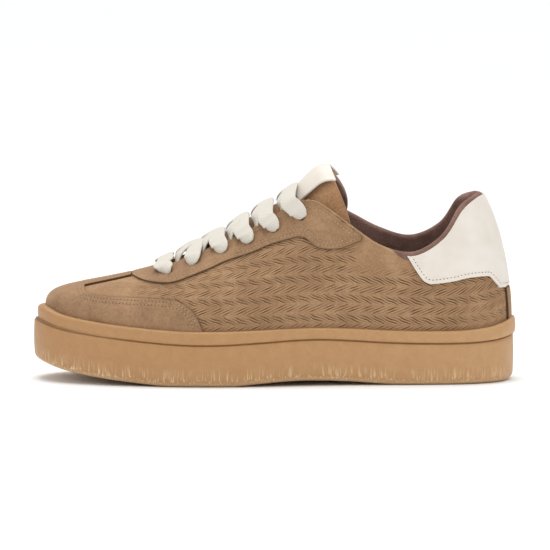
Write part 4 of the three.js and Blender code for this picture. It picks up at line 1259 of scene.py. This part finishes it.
# %% Stitches along the throat's edge
LOOP_HALF = np.linspace(0, 0.4, 2000)
THROAT_END = 43.0


def edge_line(first, last, below):
    """A line on the upper that keeps its distance below the top edge."""
    a = even_places(first, last, 300)
    steps = np.linspace(0.5, 1, 200)
    at_step = []
    for place in a:
        line = upper_point(place, steps[::-1])
        run = run_along(line)
        at_step.append(np.interp(below, run, steps[::-1]))
    return a, np.array(at_step)


throat_end = float(np.interp(THROAT_END, loop_value(TOP_EDGE, LOOP_HALF)[:, 0], LOOP_HALF))
throat_lines = [edge_line(-throat_end, throat_end, 3.2)]
stitches, holes = sew("throat_stitches", throat_lines, SURFACE + 0.1, tan_thread, hole_soft)
finish_piece(stitches, "suede")
finish_piece(holes, "suede")

# %% [markdown]
# ## Tongue and label
#
# The tongue is a padded sheet: brushed suede in front, knit behind, with its sides hanging down
# beside the instep. A plain white leather label is sewn on its top.

# %% Tongue
TONGUE_ROWS = [(0.262, 0.365, 0.62, 0.03), (0.33, 0.565, 0.7, 0.19), (0.4, 0.705, 0.78, 0.23),
               (0.47, 0.868, 0.86, 0.27), (0.54, 1.0, 0.95, 0.36), (0.595, 1.185, 1.0, 0.43),
               (0.619, 1.2, 1.0, 0.45)]
OUTER_LEAN, INNER_LEAN, INNER_SAG = 0.44, 0.46, 0.83
INNER_BULGE = 1.8
TONGUE_HALF_WIDTH = 23
TONGUE_THICKNESS = 4.2
TONGUE_LENGTH = 105
LABEL_LENGTH = 24


def open_curve(points, t):
    """A centripetal curve through the points, at shares t of it."""
    points = np.asarray(points, dtype=float)
    t = np.clip(np.asarray(t, dtype=float), 0, 1)
    place = t * (len(points) - 1)
    first = np.minimum(np.floor(place).astype(int), len(points) - 2)
    w = (place - first)[..., None]
    longer = np.concatenate([[2 * points[0] - points[1]], points, [2 * points[-1] - points[-2]]])
    p0, p1, p2, p3 = (longer[first + k] for k in range(4))
    d0, d1, d2 = (np.maximum(np.linalg.norm(q - p, axis=-1, keepdims=True), 1e-6)**0.5
                  for p, q in ((p0, p1), (p1, p2), (p2, p3)))
    m1 = ((p1 - p0) / d0 - (p2 - p0) / (d0 + d1) + (p2 - p1) / d1) * d1
    m2 = ((p2 - p1) / d1 - (p3 - p1) / (d1 + d2) + (p3 - p2) / d2) * d1
    return hermite(p1, p2, m1, m2, w)


TONGUE_LINE = [(along_to_x(along), 0, up_to_z(up)) for along, up, _, _ in TONGUE_ROWS]
TONGUE_SHAPE = [(width, sag, 0) for _, _, width, sag in TONGUE_ROWS]


def middle_of_throat(x):
    share = np.clip((along_to_x(TONGUE_ROWS[3][0]) - x) / (LENGTH * 0.2), 0, 1)
    return TOP_EDGE[0][1] * share


def tongue_point(along, across, depth):
    """A point of the tongue: share along it, share across from -1 to 1, depth in mm behind its face."""
    along, across, depth = np.broadcast_arrays(*(np.asarray(part, float) for part in (along, across, depth)))
    middle = open_curve(TONGUE_LINE, along)
    tangent = unit(open_curve(TONGUE_LINE, along + 1e-4) - open_curve(TONGUE_LINE, along - 1e-4))
    inward = np.stack([tangent[..., 2], 0 * along, -tangent[..., 0]], axis=-1)
    outer = across < 0
    lean = np.where(outer, OUTER_LEAN, INNER_LEAN)
    downward = unit(np.stack([lean, 0 * along, 0 * along - 1], axis=-1))
    downward[..., 0] *= np.where(outer, 1, 1 + INNER_BULGE * (1 - across))
    shape = open_curve(TONGUE_SHAPE, along)
    half = shape[..., 0] * TONGUE_HALF_WIDTH
    hang = shape[..., 1] * UPPER_HEIGHT * np.where(outer, 1, INNER_SAG)
    slope = np.arctan2(2 * hang * across, half)
    point = middle + downward * (hang * across**2)[..., None] + inward * (depth * np.cos(slope))[..., None]
    point[..., 1] = middle_of_throat(point[..., 0]) + half * across - depth * np.sin(slope)
    return point


def pillow_edge(share, width):
    """Rounds a sheet's thickness to nothing at its ends: share is measured from the edge in mm."""
    t = np.clip(share / width, 0, 1)
    return np.sqrt(1 - (1 - t)**2)


def tongue_side(name, front, material):
    along = np.concatenate([np.linspace(0, 0.94, 90), 1 - 0.06 * np.linspace(1, 0, 14)[1:]**1.5])
    across = np.sin(np.linspace(-math.pi / 2, math.pi / 2, 64))
    grid_along, grid_across = np.meshgrid(along, across, indexing="ij")
    from_side = (1 - np.abs(grid_across)) * TONGUE_HALF_WIDTH
    from_top = (1 - grid_along) * TONGUE_LENGTH
    puff = pillow_edge(from_side, 2.4) * pillow_edge(from_top, 2.4)
    half = TONGUE_THICKNESS / 2
    depth = half - half * puff if front else half + half * puff
    rounded = grid_along * (1 - 0.05 * np.abs(grid_across)**8)
    grid = tongue_point(rounded, grid_across, depth)
    faces = grid_faces(*grid.shape[:2])
    return make_mesh(name, grid, faces[:, ::-1] if front else faces, material)


tongue_front = tongue_side("tongue_suede", True, tongue_suede)
finish_piece(tongue_front, "suede", "tongue")
tongue_back = tongue_side("tongue_lining", False, tongue_knit)
finish_piece(tongue_back, "lining", "tongue")

# %% Tongue label
def label_mesh():
    line = open_curve(TONGUE_LINE, np.linspace(0, 1, 400))
    run = run_along(line)
    along = np.interp(np.linspace(run[-1] - LABEL_LENGTH, run[-1], 30), run, np.linspace(0, 1, 400))
    across = np.linspace(-0.5, 0.5, 30)
    grid_along, grid_across = np.meshgrid(along, across, indexing="ij")
    curl = 0.9 * np.abs(grid_across / 0.5)**3
    return tongue_point(grid_along, grid_across, -GAP - 1.4 - curl)


grid = label_mesh()
label = make_mesh("tongue_label_leather", grid, grid_faces(*grid.shape[:2])[:, ::-1], white_leather)
apply_modifier(label, "SOLIDIFY", thickness=0.0014, offset=-1)
apply_modifier(label, "BEVEL", width=0.0004, segments=3, limit_method="ANGLE", angle_limit=math.radians(50))
finish_piece(label, "white_leather", "tongue_label")

# %% [markdown]
# ## Lace
#
# A flat tubular cotton lace, a little under 10 mm wide. A bar joins the first pair of eyelets. Each
# later strand comes up through the throat, crosses the tongue, lies over the facing and dives into
# its eyelet, where it is drawn together. The fibre is matt, and the weave shows as slanting plaits
# about 1 mm apart over cross ribs 0.6 mm apart, close to those of a real lace.

# %% Cotton lace
cotton, tree, shader = new_material("woven cotton lace", Roughness=0.9, Specular_IOR_Level=0.15,
                                    Sheen_Weight=0.3, Sheen_Roughness=0.5)
uv = add(tree, "ShaderNodeTexCoord").outputs["UV"]
plaits = add(tree, "ShaderNodeTexWave", {"Vector": uv, "Scale": 0.42, "Distortion": 0.0, "Detail": 0.0},
             wave_type="BANDS", bands_direction="DIAGONAL")
ribs = add(tree, "ShaderNodeTexWave", {"Vector": uv, "Scale": 0.5, "Distortion": 0.4, "Detail": 1.0},
           wave_type="BANDS", bands_direction="X")
height = add(tree, "ShaderNodeMath", {0: plaits.outputs["Fac"], 1: ribs.outputs["Fac"]}, operation="ADD")
ramp = add(tree, "ShaderNodeValToRGB", {"Fac": plaits.outputs["Fac"]})
ramp_colours(ramp, [(0.0, "#C8C2B6"), (0.6, "#D2CCC0")])
tree.links.new(ramp.outputs["Color"], shader.inputs["Base Color"])
bump = add(tree, "ShaderNodeBump", {"Height": height, "Strength": 0.22, "Distance": 0.0003})
tree.links.new(bump.outputs[0], shader.inputs["Normal"])
print("material:", cotton.name)

# %% Lace strands
LACE_WIDTH = 9.5
LACE_THICKNESS = 2.2
LACE_LIFT = GAP + OVERLAY_THICKNESS + GAP + LACE_THICKNESS / 2 + 1.0
LACE_CLEAR = 2 * GAP + LACE_THICKNESS / 2 + 1
LACE_LEAN = 5.5
BAR_LEAN = 16.5
BAR_RISE = 1
LACE_RISES = [0, 0.2, 0, 0.2, 1.6]
WIDTH_IN_HOLE = 3.4
LEAF_LENGTH = 6.5
HOLE_WAY = 4.6


def over_facing(eyelet, share, lean):
    """A point over the facing, from the eyelet at share 0 to the throat's edge at 1, nearer the toe."""
    step = eyelet["step"] + (1 - eyelet["step"]) * share
    toeward = -1 if eyelet["a"] < 0.5 else 1
    a = eyelet["a"] + toeward * lean * share / eyelet["pace"]
    face = upper_normal(a, step)
    return upper_point(a, step) + face * (LACE_LIFT + share * 0.3), face


def lace_middle(start, end, lift):
    """Where a strand crosses the tongue's middle line, and which way it faces there."""
    point = (start["edge"] + start["start"]) / 4 + end["edge"] / 2
    line = open_curve(TONGUE_LINE, np.linspace(0, 1, 800))
    slope = np.interp(point[0], line[:, 0], np.gradient(line[:, 2], line[:, 0]))
    point[2] = np.interp(point[0], line[:, 0], line[:, 2]) + lift
    return point, unit(np.array([-slope, 0, 1.0]))


def dive(eyelet):
    """Into the eyelet: a first point in the hole's mouth and one behind the lining."""
    across = unit(eyelet["point"] - eyelet["edge"])
    toeward = np.array([-0.8, 0, 0])
    mouth = eyelet["point"] + eyelet["normal"] * 1.5 + across * 0.3 + toeward
    behind = eyelet["point"] - eyelet["normal"] * 3.6
    return (mouth, unit(eyelet["normal"] * 0.4 + across)), (behind, across)


def strand(stops, points_to_holes):
    """A soft flat band along the stops, drawn together where it dives into a hole."""
    places = np.array([point for point, _ in stops])
    looks = np.array([face for _, face in stops])
    t = np.linspace(0, 1, 400)
    path = open_curve(places, t)
    face = open_curve(looks, t)
    run = run_along(path)
    even = np.linspace(0, run[-1], max(40, int(run[-1] / 0.8)))
    path = np.stack([np.interp(even, run, path[:, k]) for k in range(3)], axis=1)
    face = unit(np.stack([np.interp(even, run, face[:, k]) for k in range(3)], axis=1))
    tangent = unit(np.gradient(path, axis=0))
    side = unit(np.cross(tangent, face))
    up = unit(np.cross(side, tangent))
    to_hole = np.full(len(even), 1e9)
    for hole in points_to_holes:
        to_hole = np.minimum(to_hole, np.abs(even - run[-1] + hole) if hole >= 0 else np.abs(even + hole))
        inside = even > run[-1] - hole if hole >= 0 else even < -hole
        to_hole = np.where(inside, 0, to_hole)
    share = np.clip(to_hole / LEAF_LENGTH, 0, 1)
    leaf = np.sqrt(1 - (1 - share)**2)
    width = WIDTH_IN_HOLE + (LACE_WIDTH + 0.3 - WIDTH_IN_HOLE) * leaf
    thick = 2.4 - 0.2 * leaf
    angle = np.linspace(0, 2 * math.pi, 25)[:-1]
    flat = np.sign(np.cos(angle)) * np.abs(np.cos(angle))**0.7
    round_part = np.sign(np.sin(angle)) * np.abs(np.sin(angle))**0.85
    sag = (1 - leaf)[:, None] * flat[None, :]**2 * 0.8
    across = width[:, None] / 2 * flat[None, :]
    height = thick[:, None] / 2 * round_part[None, :] - sag
    grid = path[:, None] + side[:, None] * across[..., None] + up[:, None] * height[..., None]
    uv = np.stack([across + 10, np.broadcast_to(even[:, None], across.shape)], axis=-1)
    return grid, uv


def lace_object(name, grids, nodes):
    """One mesh of closed strands."""
    points, faces, uvs = [], [], []
    start = 0
    for grid, uv in grids:
        rows, columns = grid.shape[:2]
        faces.append(start + grid_faces(rows, columns, close_columns=True)[:, ::-1])
        ends = []
        for end, turn in ((0, 1), (rows - 1, -1)):
            ring = start + end * columns + np.arange(columns)
            half = columns // 2
            for k in range(half - 1):
                quad = [ring[k], ring[k + 1], ring[columns - k - 2], ring[columns - k - 1]]
                ends.append(quad[::turn])
        faces.append(np.array(ends))
        points.append(grid.reshape(-1, 3))
        uvs.append(uv.reshape(-1, 2))
        start += rows * columns
    piece = make_mesh(name, np.concatenate(points), np.concatenate(faces), cotton, np.concatenate(uvs))
    finish_piece(piece, "lace_cotton", *nodes)


def bar():
    """The strand over the first pair of eyelets."""
    outer, inner = OUTER_EYELETS[0], INNER_EYELETS[0]
    ends = [over_facing(eyelet, 1, BAR_LEAN)[0] for eyelet in (outer, inner)]
    middle = (ends[0] + ends[1]) / 2 + np.array([0, 0, BAR_RISE]), unit(np.array([-0.5, 0, 1.0]))
    mouth, behind = dive(outer)
    stops = [behind, mouth, *(over_facing(outer, share, BAR_LEAN) for share in (0.15, 0.55, 1)), middle]
    stops += [*(over_facing(inner, share, BAR_LEAN) for share in (1, 0.55, 0.15)), *dive(inner)]
    return strand(stops, (-HOLE_WAY, HOLE_WAY))


def crossing(start, end, lift):
    """A strand from inside the throat at one side to the next eyelet of the other side."""
    middle = lace_middle(start, end, LACE_CLEAR + lift)
    side = start["start"]
    first = side * 0.75 + middle[0] * 0.25
    first[2] = side[2] * 0.55 + middle[0][2] * 0.45 + 1.2
    under = side * 1.02 - middle[0] * 0.02 - start["normal"] * 4.6
    stops = [(under, middle[1]), (first, middle[1]), middle]
    stops += [*(over_facing(end, share, LACE_LEAN) for share in (1, 0.55, 0.15)), *dive(end)]
    return strand(stops, (HOLE_WAY,))


lace_object("lace_bar_cotton", [bar()], ["lace_bar"])
for k in range(5):
    first = crossing(OUTER_EYELETS[k], INNER_EYELETS[k + 1], LACE_RISES[k])
    second = crossing(INNER_EYELETS[k], OUTER_EYELETS[k + 1], LACE_RISES[k] + LACE_THICKNESS * 0.4)
    lace_object(f"lace_crossing_{k + 1}", [first, second], [f"lace_cross_{k + 1}"])
